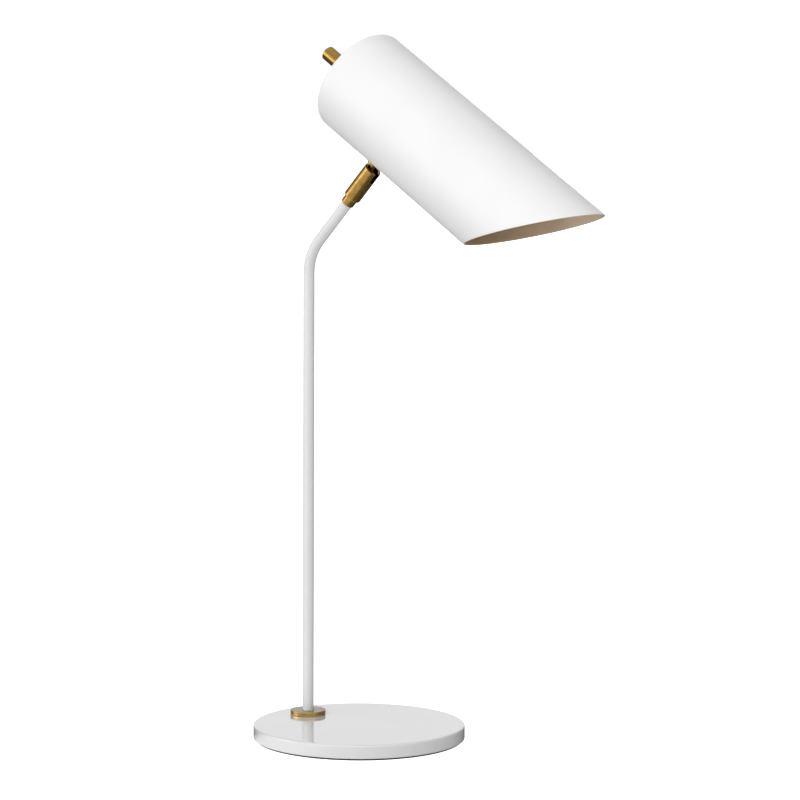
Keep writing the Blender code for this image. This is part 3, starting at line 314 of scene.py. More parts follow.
def white_paint(name, bright, shaded, uneven, roughness, dust, **constants):
    """Sprayed white paint; its roughness drifts by an uneven amount either way."""
    material, tree, shader = new_finish(name, **constants)
    skin = use(tree, peel_group)
    wear = use(tree, wear_group, Spread=0.35)
    grains = use(tree, dust_group, Amount=dust)
    tone = blend_colour(tree, skin.outputs["Clouds"], bright, shaded)
    tone = blend_colour(tree, fit(tree, wear.outputs["Worn"], 0, 1, 0, 0.35), tone, RUBBED_PAINT)
    tone = blend_colour(tree, grains.outputs["Mask"], tone, DUST_GREY)
    tree.links.new(tone, shader.inputs["Base Color"])
    rough = fit(tree, skin.outputs["Clouds"], 0, 1, roughness - uneven, roughness + uneven)
    tree.links.new(rough, shader.inputs["Roughness"])
    bump(tree, shader, skin.outputs["Height"], 0.08, 0.2 * MM)
    return material


# The stem's white is darker than the shade's: painted shade on the stem.
stem_white_shaded = white_paint("satin_white_paint", (0.77, 0.77, 0.766), (0.74, 0.74, 0.736), 0.05, 0.36, 0.2)
shade_white = white_paint("shade_white_paint", (0.87, 0.87, 0.868), (0.85, 0.85, 0.847), 0.05, 0.42, 0.2)
gloss_white = white_paint(
    "gloss_white_paint",
    (0.76, 0.76, 0.757),
    (0.74, 0.74, 0.736),
    0.02,
    0.12,
    0.5,
    Coat_Weight=1.0,
    Coat_Roughness=0.03,
)
print("made three white paints")

# %% [markdown]
# The inside of the shade has its own lining, a warm champagne lacquer that softens the lamp's light. It is a
# paint with fine flakes, so small random cells lift its tone here and there and its sheen is softer.

# %% Warm lining of the shade
lining, tree, shader = new_finish("champagne_lining", Metallic=0.1)
skin = use(tree, peel_group)
place = put(tree, "TexCoord").outputs["Object"]
flakes = put(tree, "TexVoronoi", Vector=place, Scale=2400.0).outputs["Color"]
sparkle = fit(tree, put(tree, "SeparateXYZ", Vector=flakes).outputs["X"], 0.0, 1.0)
tone = blend_colour(tree, skin.outputs["Clouds"], (0.84, 0.68, 0.52), (0.72, 0.57, 0.42))
tone = blend_colour(tree, fit(tree, sparkle, 0.8, 1.0, 0.0, 0.5), tone, (0.88, 0.75, 0.6))
tree.links.new(tone, shader.inputs["Base Color"])
tree.links.new(fit(tree, sparkle, 0, 1, 0.42, 0.55), shader.inputs["Roughness"])
bump(tree, shader, skin.outputs["Height"], 0.1, 0.2 * MM)
print("made", lining.name)

# %% [markdown]
# ## Aged brass
# The collar, the knuckle and the knob are turned brass that was darkened and then brushed back. Real brass
# isn't one yellow: lathe rings catch light, patches go brown, corners go dark and edges shine. So the
# colour is mixed four times, and the same rings drive both the roughness and a very shallow bump. The collar
# lies flat at the foot of the stem, and its faces that look up get a painted shade, a dull grey.
# The bore of the sleeve and the ball in it get a much darker brass, a painted shade for the dark inside the
# sleeve.


# %% Brass
TOP_PAINTED_SHADE = (0.26, 0.24, 0.21)
BRIGHT_EDGE = (0.82, 0.6, 0.27)
LATHE_LINES = 9000.0        # per metre


def brass_finish(name, body, dark, top_shade=0.0):
    """Turned brass with a body colour and dark patches, and a painted grey shade on faces that look up, if asked.
    """
    material, tree, shader = new_finish(name, Metallic=1.0)
    lines = use(tree, lathe_group, Lines_Per_Metre=LATHE_LINES)
    wear = use(tree, wear_group, Spread=0.45, Break_Up=0.5)
    aged = use(tree, tarnish_and_shade_group)
    tone = blend_colour(tree, lines.outputs["Bands"], body, tuple(0.8 * part for part in body))
    tone = blend_colour(tree, fit(tree, lines.outputs["Lines"], 0, 1, 0, 0.3), tone, dark)
    tone = blend_colour(tree, fit(tree, aged.outputs["Dark"], 0, 1, 0, 0.55), tone, dark)
    tone = blend_colour(tree, fit(tree, wear.outputs["Worn"], 0, 1, 0, 0.7), tone, BRIGHT_EDGE)
    if top_shade > 0:
        # Faces that look up go grey: a painted shade.
        facing = put(tree, "SeparateXYZ", Vector=put(tree, "NewGeometry").outputs["Normal"]).outputs["Z"]
        tone = blend_colour(tree, fit(tree, facing, 0.9, 0.98, 0, top_shade), tone, TOP_PAINTED_SHADE)
    tree.links.new(tone, shader.inputs["Base Color"])
    rough = fit(tree, lines.outputs["Lines"], 0, 1, 0.16, 0.28)
    rough = calc(tree, "ADD", rough, fit(tree, aged.outputs["Dark"], 0, 1, 0, 0.12))
    tree.links.new(rough, shader.inputs["Roughness"])
    bump(tree, shader, lines.outputs["Lines"], 0.25, 0.02 * MM)
    return material


BRASS_BODY = (0.68, 0.42, 0.115)
BRASS_PATCHES = (0.27, 0.14, 0.035)
brass = brass_finish("aged_brass", BRASS_BODY, BRASS_PATCHES)
# The collar's faces that look up get painted shade.
collar_brass = brass_finish("collar_brass", BRASS_BODY, BRASS_PATCHES, top_shade=0.85)
# A very dark brass: painted shade for the inside of the sleeve and the ball within it.
bore_painted_shade = brass_finish("shadowed_brass", (0.1, 0.052, 0.02), (0.05, 0.025, 0.01))
print("made", brass.name, collar_brass.name, "and", bore_painted_shade.name)


# %% [markdown]
# ## The smaller finishes
# Plated steel, nickel, nylon, phenolic moulding, rubber, felt, an opal diffuser and wire sheath show only
# here and there. One recipe covers the metals and the mouldings: a tone that drifts, and a fine grain that
# drives the roughness and a shallow bump. It also paints shade into inside corners, darkens random patches
# and lightens worn edges. Felt gets fibres and the diffuser a little depth instead.


# %% Plated metals and mouldings
def plain_finish(name, light, dark, rough_low, rough_high, grain, depth, metallic=0.0):
    """A grain this many times per metre, with a depth, over a tone that drifts between two colours."""
    material, tree, shader = new_finish(name, Metallic=metallic)
    place = put(tree, "TexCoord").outputs["Object"]
    drift = put(tree, "TexNoise", Vector=place, Scale=90.0, Detail=5.0).outputs[0]
    fine = put(tree, "TexNoise", Vector=place, Scale=grain, Detail=3.0).outputs[0]
    wear = use(tree, wear_group, Spread=0.3)
    aged = use(tree, tarnish_and_shade_group, In_Corners=0.6)
    tone = blend_colour(tree, fit(tree, drift, 0.35, 0.65), light, dark)
    # Inside corners go darker: painted shade. Random patches darken too.
    shadow = tuple(0.45 * part for part in dark)
    tone = blend_colour(tree, fit(tree, aged.outputs["Dark"], 0, 1, 0, 0.3), tone, shadow)
    tone = blend_colour(tree, fit(tree, wear.outputs["Worn"], 0, 1, 0, 0.4), tone, light)
    tree.links.new(tone, shader.inputs["Base Color"])
    tree.links.new(fit(tree, fine, 0.3, 0.7, rough_low, rough_high), shader.inputs["Roughness"])
    bump(tree, shader, fine, 0.3, depth)
    return material


steel = plain_finish("zinc_steel", (0.62, 0.62, 0.63), (0.46, 0.47, 0.5), 0.3, 0.5, 1500.0, 0.03 * MM, 1.0)
nickel = plain_finish("nickel_plate", (0.72, 0.7, 0.66), (0.6, 0.58, 0.54), 0.15, 0.3, 1200.0, 0.01 * MM, 1.0)
nylon = plain_finish("white_nylon", (0.8, 0.8, 0.78), (0.74, 0.74, 0.72), 0.42, 0.55, 1800.0, 0.03 * MM)
SOFT_BLACK = (0.035, 0.034, 0.035)
DEEP_BLACK = (0.02, 0.02, 0.021)
phenolic = plain_finish("black_phenolic", SOFT_BLACK, DEEP_BLACK, 0.25, 0.4, 1600.0, 0.02 * MM)
RUBBER_GREY = (0.04, 0.04, 0.04)
RUBBER_BLACK = (0.025, 0.025, 0.026)
rubber = plain_finish("black_rubber", RUBBER_GREY, RUBBER_BLACK, 0.65, 0.85, 2500.0, 0.05 * MM)
sheath = plain_finish("lead_sheath", (0.76, 0.76, 0.74), (0.68, 0.68, 0.66), 0.45, 0.6, 1300.0, 0.03 * MM)
print("made six small finishes")

# %% Felt and opal diffuser
felt, tree, shader = new_finish("dark_felt", Sheen_Weight=0.4, Sheen_Roughness=0.5)
place = put(tree, "TexCoord").outputs["Object"]
bent = put(tree, "TexNoise", Vector=place, Scale=500.0, Detail=2.0).outputs["Color"]
BEND = 4 * MM
along = put(tree, "VectorMath", {"operation": "MULTIPLY_ADD"}, i0=bent, i1=(BEND, BEND, BEND), i2=place)
fibres = put(tree, "TexNoise", Vector=along.outputs[0], Scale=3200.0, Detail=6.0, Roughness=0.7).outputs[0]
tone = blend_colour(tree, fit(tree, fibres, 0.35, 0.65), (0.02, 0.02, 0.022), (0.07, 0.07, 0.075))
tree.links.new(tone, shader.inputs["Base Color"])
tree.links.new(fit(tree, fibres, 0, 1, 0.85, 1.0), shader.inputs["Roughness"])
bump(tree, shader, fibres, 0.8, 0.3 * MM)

opal, tree, shader = new_finish("opal_diffuser", Subsurface_Weight=0.3, Subsurface_Scale=4 * MM)
skin = use(tree, peel_group, Ripples_Per_Metre=420.0)
grains = use(tree, dust_group, Amount=0.3)
tone = blend_colour(tree, skin.outputs["Clouds"], (0.86, 0.86, 0.84), (0.8, 0.8, 0.78))
tone = blend_colour(tree, grains.outputs["Mask"], tone, (0.6, 0.58, 0.54))
tree.links.new(tone, shader.inputs["Base Color"])
tree.links.new(fit(tree, skin.outputs["Clouds"], 0, 1, 0.3, 0.4), shader.inputs["Roughness"])
bump(tree, shader, skin.outputs["Height"], 0.1, 0.1 * MM)
print("made", felt.name, "and", opal.name)

# %% [markdown]
# ## How a turned piece is made
# The outline of a turned piece is a short list of corners, each with a rounding. `soften` turns corners into
# arcs, because no real edge is sharp and it is the rounding that catches light. `turned` then walks round
# the axis and joins the copies of the outline into quads, which keeps the mesh clean. At the end it marks
# how near each point is to an outside edge or an inside corner, for the wear and the tarnish.


# %% Rounding the corners of an outline
ARC_STEPS = 5
TINY = 1e-7         # two places this near are one place


def soften(outline):
    """(radius, height, rounding) corners of a closed loop, as points with each corner rounded."""
    points = []
    total = len(outline)
    for index, (radius, height, rounding) in enumerate(outline):
        here = Vector((radius, 0, height))
        before = Vector((outline[index - 1][0], 0, outline[index - 1][1]))
        after = Vector((outline[(index + 1) % total][0], 0, outline[(index + 1) % total][1]))
        if rounding == 0:
            points.append(here)
            continue
        first = (before - here).normalized()
        second = (after - here).normalized()
        half = first.angle(second) / 2
        centre = here + (first + second).normalized() * rounding / math.sin(half)
        reach = rounding / math.tan(half)
        start = here + first * reach - centre
        end = here + second * reach - centre
        spokes = [start.slerp(end, step / ARC_STEPS).normalized() for step in range(ARC_STEPS + 1)]
        points += [centre + rounding * spoke for spoke in spokes]
    return points


def filled(points, longest):
    """Adds points on long runs, so that no step of the outline is longer than the given length."""
    done = []
    for index, point in enumerate(points):
        following = points[(index + 1) % len(points)]
        both_on_axis = point.x < TINY and following.x < TINY
        pieces = 1 if both_on_axis else max(1, math.ceil((following - point).length / longest))
        done += [point.lerp(following, step / pieces) for step in range(pieces)]
    return done


# %% [markdown]
# Whether a corner is an outside edge or an inside one follows from the way the loop turns there, compared
# with the way the whole loop turns. The marks fade over two and a half millimetres. `lathe_at` holds a place
# on a cylinder of the piece's full width, so the rings keep their spacing on flat ends as well.

# %% Marking edges and corners
MARK_REACH = 2.5 * MM


def corner_kinds(outline):
    """Splits an outline's rounded corners into outside edges and inside corners."""
    area = 0.0
    for index, (x, z, _) in enumerate(outline):
        next_x, next_z, _ = outline[(index + 1) % len(outline)]
        area += x * next_z - next_x * z
    edges = []
    corners = []
    for index, (x, z, rounding) in enumerate(outline):
        x0, z0, _ = outline[index - 1]
        x1, z1, _ = outline[(index + 1) % len(outline)]
        turn = (x - x0) * (z1 - z) - (z - z0) * (x1 - x)
        if x > 0 and abs(turn) > 1e-12 and rounding > 0:
            (edges if turn * area > 0 else corners).append((x, z))
    return edges, corners


def mark(item, axes, edges, corners, width):
    """Stores lathe_at, edge_near and corner_near on the mesh's points."""
    mesh = item.data
    for name, kind in (("lathe_at", "FLOAT_VECTOR"), ("edge_near", "FLOAT"), ("corner_near", "FLOAT")):
        if name not in mesh.attributes:
            mesh.attributes.new(name, kind, "POINT")
    lathe_at = mesh.attributes["lathe_at"]
    edge_near = mesh.attributes["edge_near"]
    corner_near = mesh.attributes["corner_near"]
    inverse = axes.inverted()
    for index, vertex in enumerate(mesh.vertices):
        x, y, z = inverse @ vertex.co
        radius = math.hypot(x, y)
        scale = width / max(radius, 0.1 * MM)
        lathe_at.data[index].vector = (x * scale, y * scale, z + width - radius)
        for attribute, lines in ((edge_near, edges), (corner_near, corners)):
            gap = min((math.hypot(radius - r, z - h) for r, h in lines), default=MARK_REACH)
            attribute.data[index].value = max(0.0, 1 - gap / MARK_REACH)


# %% Turning an outline into a mesh
def mesh_object(name, form, axes, material, body, stands_for):
    """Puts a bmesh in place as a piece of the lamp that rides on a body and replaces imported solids."""
    bmesh.ops.remove_doubles(form, verts=form.verts, dist=TINY)
    bmesh.ops.recalc_face_normals(form, faces=form.faces)
    mesh = bpy.data.meshes.new(name)
    form.to_mesh(mesh)
    form.free()
    mesh.transform(axes)
    mesh.materials.append(material)
    item = bpy.data.objects.new(name, mesh)
    bpy.context.scene.collection.objects.link(item)
    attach(item, body)
    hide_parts(*stands_for)
    return item


CREASE = math.radians(35)


def shade_smoothly(item):
    """Smooth shading, with creases kept where faces meet at a steep angle."""
    item.data.shade_smooth()
    item.data.set_sharp_from_angle(angle=CREASE)


def turned_form(outline, steps, longest):
    """A closed bmesh swept round Z from a closed outline."""
    loop = filled(soften(outline), longest)
    form = bmesh.new()
    rings = []
    for step in range(steps):
        angle = 2 * math.pi * step / steps
        sine, cosine = math.sin(angle), math.cos(angle)
        rings.append([form.verts.new((point.x * cosine, point.x * sine, point.z)) for point in loop])
    total = len(loop)
    for step in range(steps):
        near = rings[step]
        far = rings[(step + 1) % steps]
        for index in range(total):
            following = (index + 1) % total
            if loop[index].x < TINY and loop[following].x < TINY:
                continue
            form.faces.new((near[index], near[following], far[following], far[index]))
    return form


def turned(name, outline, axes, material, body, stands_for, steps, longest):
    """A finished turned piece, with so many steps round and no step along longer than a length."""
    form = turned_form(outline, steps, longest)
    item = mesh_object(name, form, axes, material, body, stands_for)
    finish_turning(item, outline, axes)
    return item


def finish_turning(item, outline, axes):
    """Marks and shades a turned piece; done again after a cut, because a cut makes new points."""
    edges, corners = corner_kinds(outline)
    mark(item, axes, edges, corners, max(point[0] for point in outline))
    shade_smoothly(item)
    print(item.name, len(item.data.polygons), "faces")


def cut(item, form, axes):
    """Takes a closed bmesh away from a piece with a Boolean, and applies it."""
    mesh = bpy.data.meshes.new("cutter")
    form.to_mesh(mesh)
    form.free()
    mesh.transform(axes)
    cutter = bpy.data.objects.new("cutter", mesh)
    bpy.context.scene.collection.objects.link(cutter)
    tool = item.modifiers.new("cut", "BOOLEAN")
    tool.object = cutter
    tool.solver = "EXACT"
    bpy.context.view_layer.update()
    graph = bpy.context.evaluated_depsgraph_get()
    result = bpy.data.meshes.new_from_object(item.evaluated_get(graph))
    item.modifiers.clear()
    old = item.data
    item.data = result
    bpy.data.meshes.remove(old)
    bpy.data.objects.remove(cutter)


# %% Cutters
def block_form(low, high, radius, along, segments):
    """A box between two corners, with the edges that run along one axis (0, 1 or 2) rounded."""
    form = bmesh.new()
    bmesh.ops.create_cube(form, size=1.0)
    for vertex in form.verts:
        vertex.co = Vector(low[i] if vertex.co[i] < 0 else high[i] for i in range(3))
    picked = []
    for edge in form.edges:
        run = edge.verts[0].co - edge.verts[1].co
        if abs(abs(run[along]) - run.length) < TINY:
            picked.append(edge)
    bmesh.ops.bevel(form, geom=picked, offset=radius, segments=segments, profile=0.5, affect="EDGES")
    return form


def rod_form(radius, low, high):
    """A plain closed rod along Z."""
    form = bmesh.new()
    bmesh.ops.create_cone(form, cap_ends=True, segments=48, radius1=radius, radius2=radius, depth=high - low)
    bmesh.ops.translate(form, verts=form.verts, vec=(0, 0, (low + high) / 2))
    return form


# %% [markdown]
# ## Base, pad and collar
# The base is a thick steel disc in glossy paint. Its top edge has a soft round of a millimetre and a half,
# which draws the bright line round the top. Under it a pocket holds the nut and the wire clamp, and a felt
# pad closes it. The collar is a plain brass ring that hides the hole.

# %% Base
CLEARANCE = 0.3 * MM
POCKET_HALF = 17 * MM
POCKET_RIM = 8.5 * MM
POCKET_CORNER = 5 * MM
PAST = 4 * MM       # how far a cutter runs past what it cuts

base_low, base_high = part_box("base_disc")
tube_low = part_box("stem_tube")[0]
block_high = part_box("terminal_block")[1]
washer_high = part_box("stem_lock_washer")[1]
grommet_low, grommet_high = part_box("cord_grommet")
base_radius = base_high.x
base_outline = [
    (0, base_high.z, 0),
    (base_radius, base_high.z, 1.6 * MM),
    (base_radius, base_low.z, 0.6 * MM),
    (0, base_low.z, 0),
]
base = turned(
    "painted_base", base_outline, flat_axes, gloss_white, "stand", ["base_disc"],
    192, 2.5 * MM,
)
tube_radius = stem_x - tube_low.x
ceiling = washer_high.z + CLEARANCE
pocket_low = (POCKET_RIM - base_radius, -POCKET_HALF, base_low.z - PAST)
pocket_high = (block_high.x + CLEARANCE, POCKET_HALF, ceiling)
cut(base, block_form(pocket_low, pocket_high, POCKET_CORNER, 2, 6), flat_axes)
cut(base, rod_form(tube_radius + CLEARANCE, base_low.z, base_high.z + PAST), stem_axes)
inlet_axes = Matrix.Translation((-base_radius, 0, (grommet_low.z + grommet_high.z) / 2))
inlet_axes = inlet_axes @ Matrix.Rotation(math.pi / 2, 4, "Y")
INLET_RADIUS = 3.7 * MM
cut(base, rod_form(INLET_RADIUS, -PAST, POCKET_RIM + PAST), inlet_axes)
finish_turning(base, base_outline, flat_axes)

# %% Pad and grommet
pad_low, pad_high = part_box("base_pad")
pad_outline = [
    (0, pad_high.z, 0),
    (pad_high.x, pad_high.z, 0.5 * MM),
    (pad_high.x, pad_low.z, 0.4 * MM),
    (0, pad_low.z, 0),
]
turned("felt_pad", pad_outline, flat_axes, felt, "stand", ["base_pad"], 192, 3 * MM)
outward = Matrix.Translation(inlet_axes.translation) @ Matrix.Rotation(-math.pi / 2, 4, "Y")
flange_top = -base_radius - grommet_low.x
flange_radius = grommet_high.y
bush_radius = INLET_RADIUS - CLEARANCE
CORD_BORE = 2.5 * MM
grommet_outline = [
    (flange_radius, flange_top, 0.6 * MM),
    (flange_radius, flange_top - 1.6 * MM, 0.2 * MM),
    (bush_radius, flange_top - 1.6 * MM, 0.2 * MM),
    (bush_radius, -base_radius - grommet_high.x, 0.4 * MM),
    (CORD_BORE, -base_radius - grommet_high.x, 0.3 * MM),
    (CORD_BORE, flange_top, 0.4 * MM),
]
turned(
    "inlet_grommet", grommet_outline, outward, rubber, "stand", ["cord_grommet"],
    64, 1 * MM,
)

# %% Collar
collar_radius = (collar_high.x - collar_low.x) / 2
collar_bore = tube_radius + CLEARANCE
collar_outline = [
    (collar_radius, collar_high.z, 0.35 * MM),
    (collar_radius, collar_low.z, 0.3 * MM),
    (collar_bore, collar_low.z, 0.1 * MM),
    (collar_bore, collar_high.z, 0.25 * MM),
]
turned(
    "brass_collar", collar_outline, stem_axes, collar_brass, "stand", ["stem_collar"],
    128, 0.6 * MM,
)

# %% [markdown]
# ## The bent stem
# One steel tube makes the post, the elbow and the arm. We walk along its centre line and set a ring of points
# at each station; the elbow gets a station every degree and a half, so its curve is as smooth as a bender's.
# A second, smaller ring makes the wall, so the tube is truly hollow where the wire runs.

# %% Stem
ELBOW_RADIUS = 40 * MM
TUBE_WALL = 1.5 * MM
POST_STEPS = 60
ELBOW_STEPS = 30
ARM_STEPS = 12
TUBE_SIDES = 64
pivot = arm_axes.translation
arm_way = arm_axes.col[2].xyz
tube_end = spans("stem_tube", arm_axes)[1].z
elbow_height = pivot.z - (pivot.x - stem_x) / arm_way.x * arm_way.z
lean = math.atan2(arm_way.x, arm_way.z)


def stem_stations():
    """(centre, lean) stations from the foot of the tube to its top end."""
    tangent = ELBOW_RADIUS * math.tan(lean / 2)
    bend_start = elbow_height - tangent
    rise = [tube_low.z + (bend_start - tube_low.z) * step / POST_STEPS for step in range(POST_STEPS)]
    stations = [(Vector((stem_x, 0, height)), 0.0) for height in rise]
    centre = Vector((stem_x + ELBOW_RADIUS, 0, bend_start))
    for step in range(ELBOW_STEPS + 1):
        angle = lean * step / ELBOW_STEPS
        spoke = Vector((-math.cos(angle), 0, math.sin(angle)))
        stations.append((centre + ELBOW_RADIUS * spoke, angle))
    bend_end = stations[-1][0]
    top = pivot + tube_end * arm_way
    stations += [(bend_end.lerp(top, step / ARM_STEPS), lean) for step in range(1, ARM_STEPS + 1)]
    return stations


def hollow_tube_form(stations, outer, inner):
    """A tube with a wall, from rings of points square to its centre line."""
    form = bmesh.new()
    loops = []
    for centre, angle in stations:
        across = Vector((math.cos(angle), 0, -math.sin(angle)))
        walls = []
        for radius in (outer, inner):
            ring = []
            for side in range(TUBE_SIDES):
                turn = 2 * math.pi * side / TUBE_SIDES
                spoke = math.cos(turn) * across + Vector((0, math.sin(turn), 0))
                ring.append(form.verts.new(centre + radius * spoke))
            walls.append(ring)
        loops.append(walls)
    for side in range(TUBE_SIDES):
        following = (side + 1) % TUBE_SIDES
        for station in range(len(loops) - 1):
            for wall in (0, 1):
                near = loops[station][wall]
                far = loops[station + 1][wall]
                form.faces.new((near[side], near[following], far[following], far[side]))
        for end in (0, -1):
            rim, bore = loops[end]
            form.faces.new((rim[side], rim[following], bore[following], bore[side]))
    return form


stem_form = hollow_tube_form(stem_stations(), tube_radius, tube_radius - TUBE_WALL)
stem = mesh_object("bent_stem", stem_form, flat_axes, stem_white_shaded, "stand", ["stem_tube"])
shade_smoothly(stem)
print("stem bends at", round(elbow_height / MM), "mm by", round(math.degrees(lean)), "degrees")

# %% [markdown]
# ## The brass knuckle
# The arm ends in a short fixed neck. A sleeve turns on it, and a ball sits in the sleeve's open end, pressed
# up by a spring. A slot in the sleeve's side lets the ball's stem swing right down. The sleeve is one turned
# outline with a slot cut from it, and its socket is an arc that closes in over the ball. The ball, its thin
# stem and the flange under the shade are another. A second material, a very dark brass, paints shade on the
# faces inside the sleeve and on the part of the ball within it.

# %% Neck
sleeve_low, sleeve_high = spans("swivel_sleeve", arm_axes)
neck_low, neck_high = spans("neck_ferrule", arm_axes)
neck_foot = tube_end + CLEARANCE
neck_top = sleeve_low.z - CLEARANCE
SPIGOT_RADIUS = 4.0 * MM
NECK_BORE = 2.2 * MM
plug_radius = tube_radius - TUBE_WALL - CLEARANCE
neck_outline = [
    (SPIGOT_RADIUS, neck_high.z, 0.3 * MM),
    (SPIGOT_RADIUS, neck_top, 0.1 * MM),
    (neck_high.y, neck_top, 0.3 * MM),
    (neck_high.y, neck_foot, 0.3 * MM),
    (plug_radius, neck_foot, 0.1 * MM),
    (plug_radius, neck_low.z, 0.3 * MM),
    (NECK_BORE, neck_low.z, 0),
    (NECK_BORE, neck_high.z, 0),
]
turned("knuckle_neck", neck_outline, arm_axes, brass, "stand", ["neck_ferrule"], 96, 0.8 * MM)

# %% Sleeve
BALL_RADIUS = 6.2 * MM
SOCKET_RADIUS = 6.4 * MM
SOCKET_GRIP = math.radians(38.7)
SLOT_HALF = 2.7 * MM
FOOT_BORE = 6.1 * MM
FOOT_DEPTH = 1.6 * MM
FLOOR_BORE = 4.2 * MM
FLOOR_TOP = 3.2 * MM
SPRING_BORE = 6.0 * MM
SPRING_TOP = 9.6 * MM
LIP_CHAMFER = 0.3 * MM
GRIP_STEPS = 12
sleeve_radius = sleeve_high.y
foot = sleeve_low.z
sleeve_outline = [
    (sleeve_radius, sleeve_high.z, 0.35 * MM),
    (sleeve_radius, foot, 0.4 * MM),
    (FOOT_BORE, foot, 0.15 * MM),
    (FOOT_BORE, foot + FOOT_DEPTH, 0),
    (FLOOR_BORE, foot + FOOT_DEPTH, 0),
    (FLOOR_BORE, foot + FLOOR_TOP, 0),
    (SPRING_BORE, foot + FLOOR_TOP, 0),
    (SPRING_BORE, foot + SPRING_TOP, 0),
    (SOCKET_RADIUS, foot + SPRING_TOP, 0),
]
for step in range(GRIP_STEPS + 1):
    angle = SOCKET_GRIP * step / GRIP_STEPS
    sleeve_outline.append((SOCKET_RADIUS * math.cos(angle), SOCKET_RADIUS * math.sin(angle), 0))
lip = SOCKET_RADIUS * math.cos(SOCKET_GRIP)
sleeve_outline.append((lip + LIP_CHAMFER, sleeve_high.z, 0.25 * MM))
sleeve = turned(
    "slotted_sleeve", sleeve_outline, arm_axes, brass, "sleeve", ["swivel_sleeve"], 96, 0.8 * MM
)
slot_low = (0, -SLOT_HALF, -SLOT_HALF)
slot_high = (2 * sleeve_radius, SLOT_HALF, sleeve_high.z + 4 * SLOT_HALF)
cut(sleeve, block_form(slot_low, slot_high, 0.99 * SLOT_HALF, 0, 12), arm_axes)
finish_turning(sleeve, sleeve_outline, arm_axes)
# Faces inside the sleeve take the dark brass, a painted shade; the outer skin and the top rim stay bright.
sleeve.data.materials.append(bore_painted_shade)
BRIGHT_SKIN = 0.5 * MM
BRIGHT_RIM = 0.3 * MM
arm_inverse = arm_axes.inverted()
for face in sleeve.data.polygons:
    x, y, z = arm_inverse @ face.center
    within = math.hypot(x, y) < sleeve_radius - BRIGHT_SKIN
    if within and foot + BRIGHT_SKIN < z < sleeve_high.z - BRIGHT_RIM:
        face.material_index = 1

# %% Ball and its stem
stem_top = spans("ball_stem", ball_axes)[1]
saddle_low, saddle_high = spans("shade_saddle", ball_axes)
flange_top = saddle_low.z - CLEARANCE
FLANGE_RADIUS = 6 * MM
FLANGE_THICKNESS = 3 * MM
STUD_RADIUS = 4 * MM
THIN_RADIUS = 2.4 * MM
BALL_BORE = 1.7 * MM
BALL_STEPS = 32
ball_outline = [
    (STUD_RADIUS, stem_top.z, 0.35 * MM),
    (STUD_RADIUS, flange_top, 0.1 * MM),
    (FLANGE_RADIUS, flange_top, 0.35 * MM),
    (FLANGE_RADIUS, flange_top - FLANGE_THICKNESS, 0.35 * MM),
    (THIN_RADIUS, flange_top - FLANGE_THICKNESS, 0.5 * MM),
]
ball_start = math.acos(THIN_RADIUS / BALL_RADIUS)
ball_end = -math.acos(BALL_BORE / BALL_RADIUS)
for step in range(BALL_STEPS + 1):
    angle = ball_start + (ball_end - ball_start) * step / BALL_STEPS
    ball_outline.append((BALL_RADIUS * math.cos(angle), BALL_RADIUS * math.sin(angle), 0))
ball_outline.append((BALL_BORE, stem_top.z, 0))
ball = turned(
    "ball_and_stem", ball_outline, ball_axes, brass, "ball", ["ball_stem"], 96, 0.6 * MM
)
# The ball's faces within the sleeve take the same painted shade.
ball.data.materials.append(bore_painted_shade)
ball_inverse = ball_axes.inverted()
for face in ball.data.polygons:
    if (ball_inverse @ face.center).length < 1.01 * BALL_RADIUS:
        face.material_index = 1

# %% Saddle washer
saddle_outline = [
    (saddle_high.y, saddle_high.z, 0.2 * MM),
    (saddle_high.y, saddle_low.z, 0.3 * MM),
    (STUD_RADIUS + CLEARANCE, saddle_low.z, 0.1 * MM),
    (STUD_RADIUS + CLEARANCE, saddle_high.z, 0.1 * MM),
]
turned(
    "saddle_washer", saddle_outline, ball_axes, brass, "head", ["shade_saddle"],
    96, 0.5 * MM,
)

# %% [markdown]
# ## The shade
# The shade is a steel tube with a closed rear, cut across at 45 degrees to make the long mouth. Turning can't
# make a slanted end, so we set up one outline per direction: each has the same corners, but its front end
# lies on the cutting plane. Joined side by side they make the whole wall, with a fine rounded lip.

# %% Shade
SHADE_WALL = 1 * MM
REAR_ROUND = 2 * MM
LIP_ROUND = 0.28 * MM
REAR_HOLE = 5.2 * MM
HOLE_ROUND = 0.1 * MM
shade_high = spans("shade_shell", shade_axes)[1]
shade_radius = shade_high.y
lower_length = shade_high.z - 2 * shade_radius
axis_length = lower_length + shade_radius


def shade_section(angle):
    """The wall's outline in one direction: rear hole, rear face, side, slanted lip, and back inside."""
    across = math.cos(angle)
    outer = shade_radius
    inner = shade_radius - SHADE_WALL
    return [
        (REAR_HOLE, 0, HOLE_ROUND),
        (outer, 0, REAR_ROUND),
        (outer, axis_length - outer * across, LIP_ROUND),
        (inner, axis_length - inner * across, LIP_ROUND),
        (inner, SHADE_WALL, REAR_ROUND - SHADE_WALL),
        (REAR_HOLE, SHADE_WALL, HOLE_ROUND),
    ]


def split_runs(points, counts):
    """Splits each long run of a softened outline into a set number of pieces."""
    done = []
    for index, point in enumerate(points):
        following = points[(index + 1) % len(points)]
        pieces = counts.get(index, 1)
        done += [point.lerp(following, step / pieces) for step in range(pieces)]
    return done


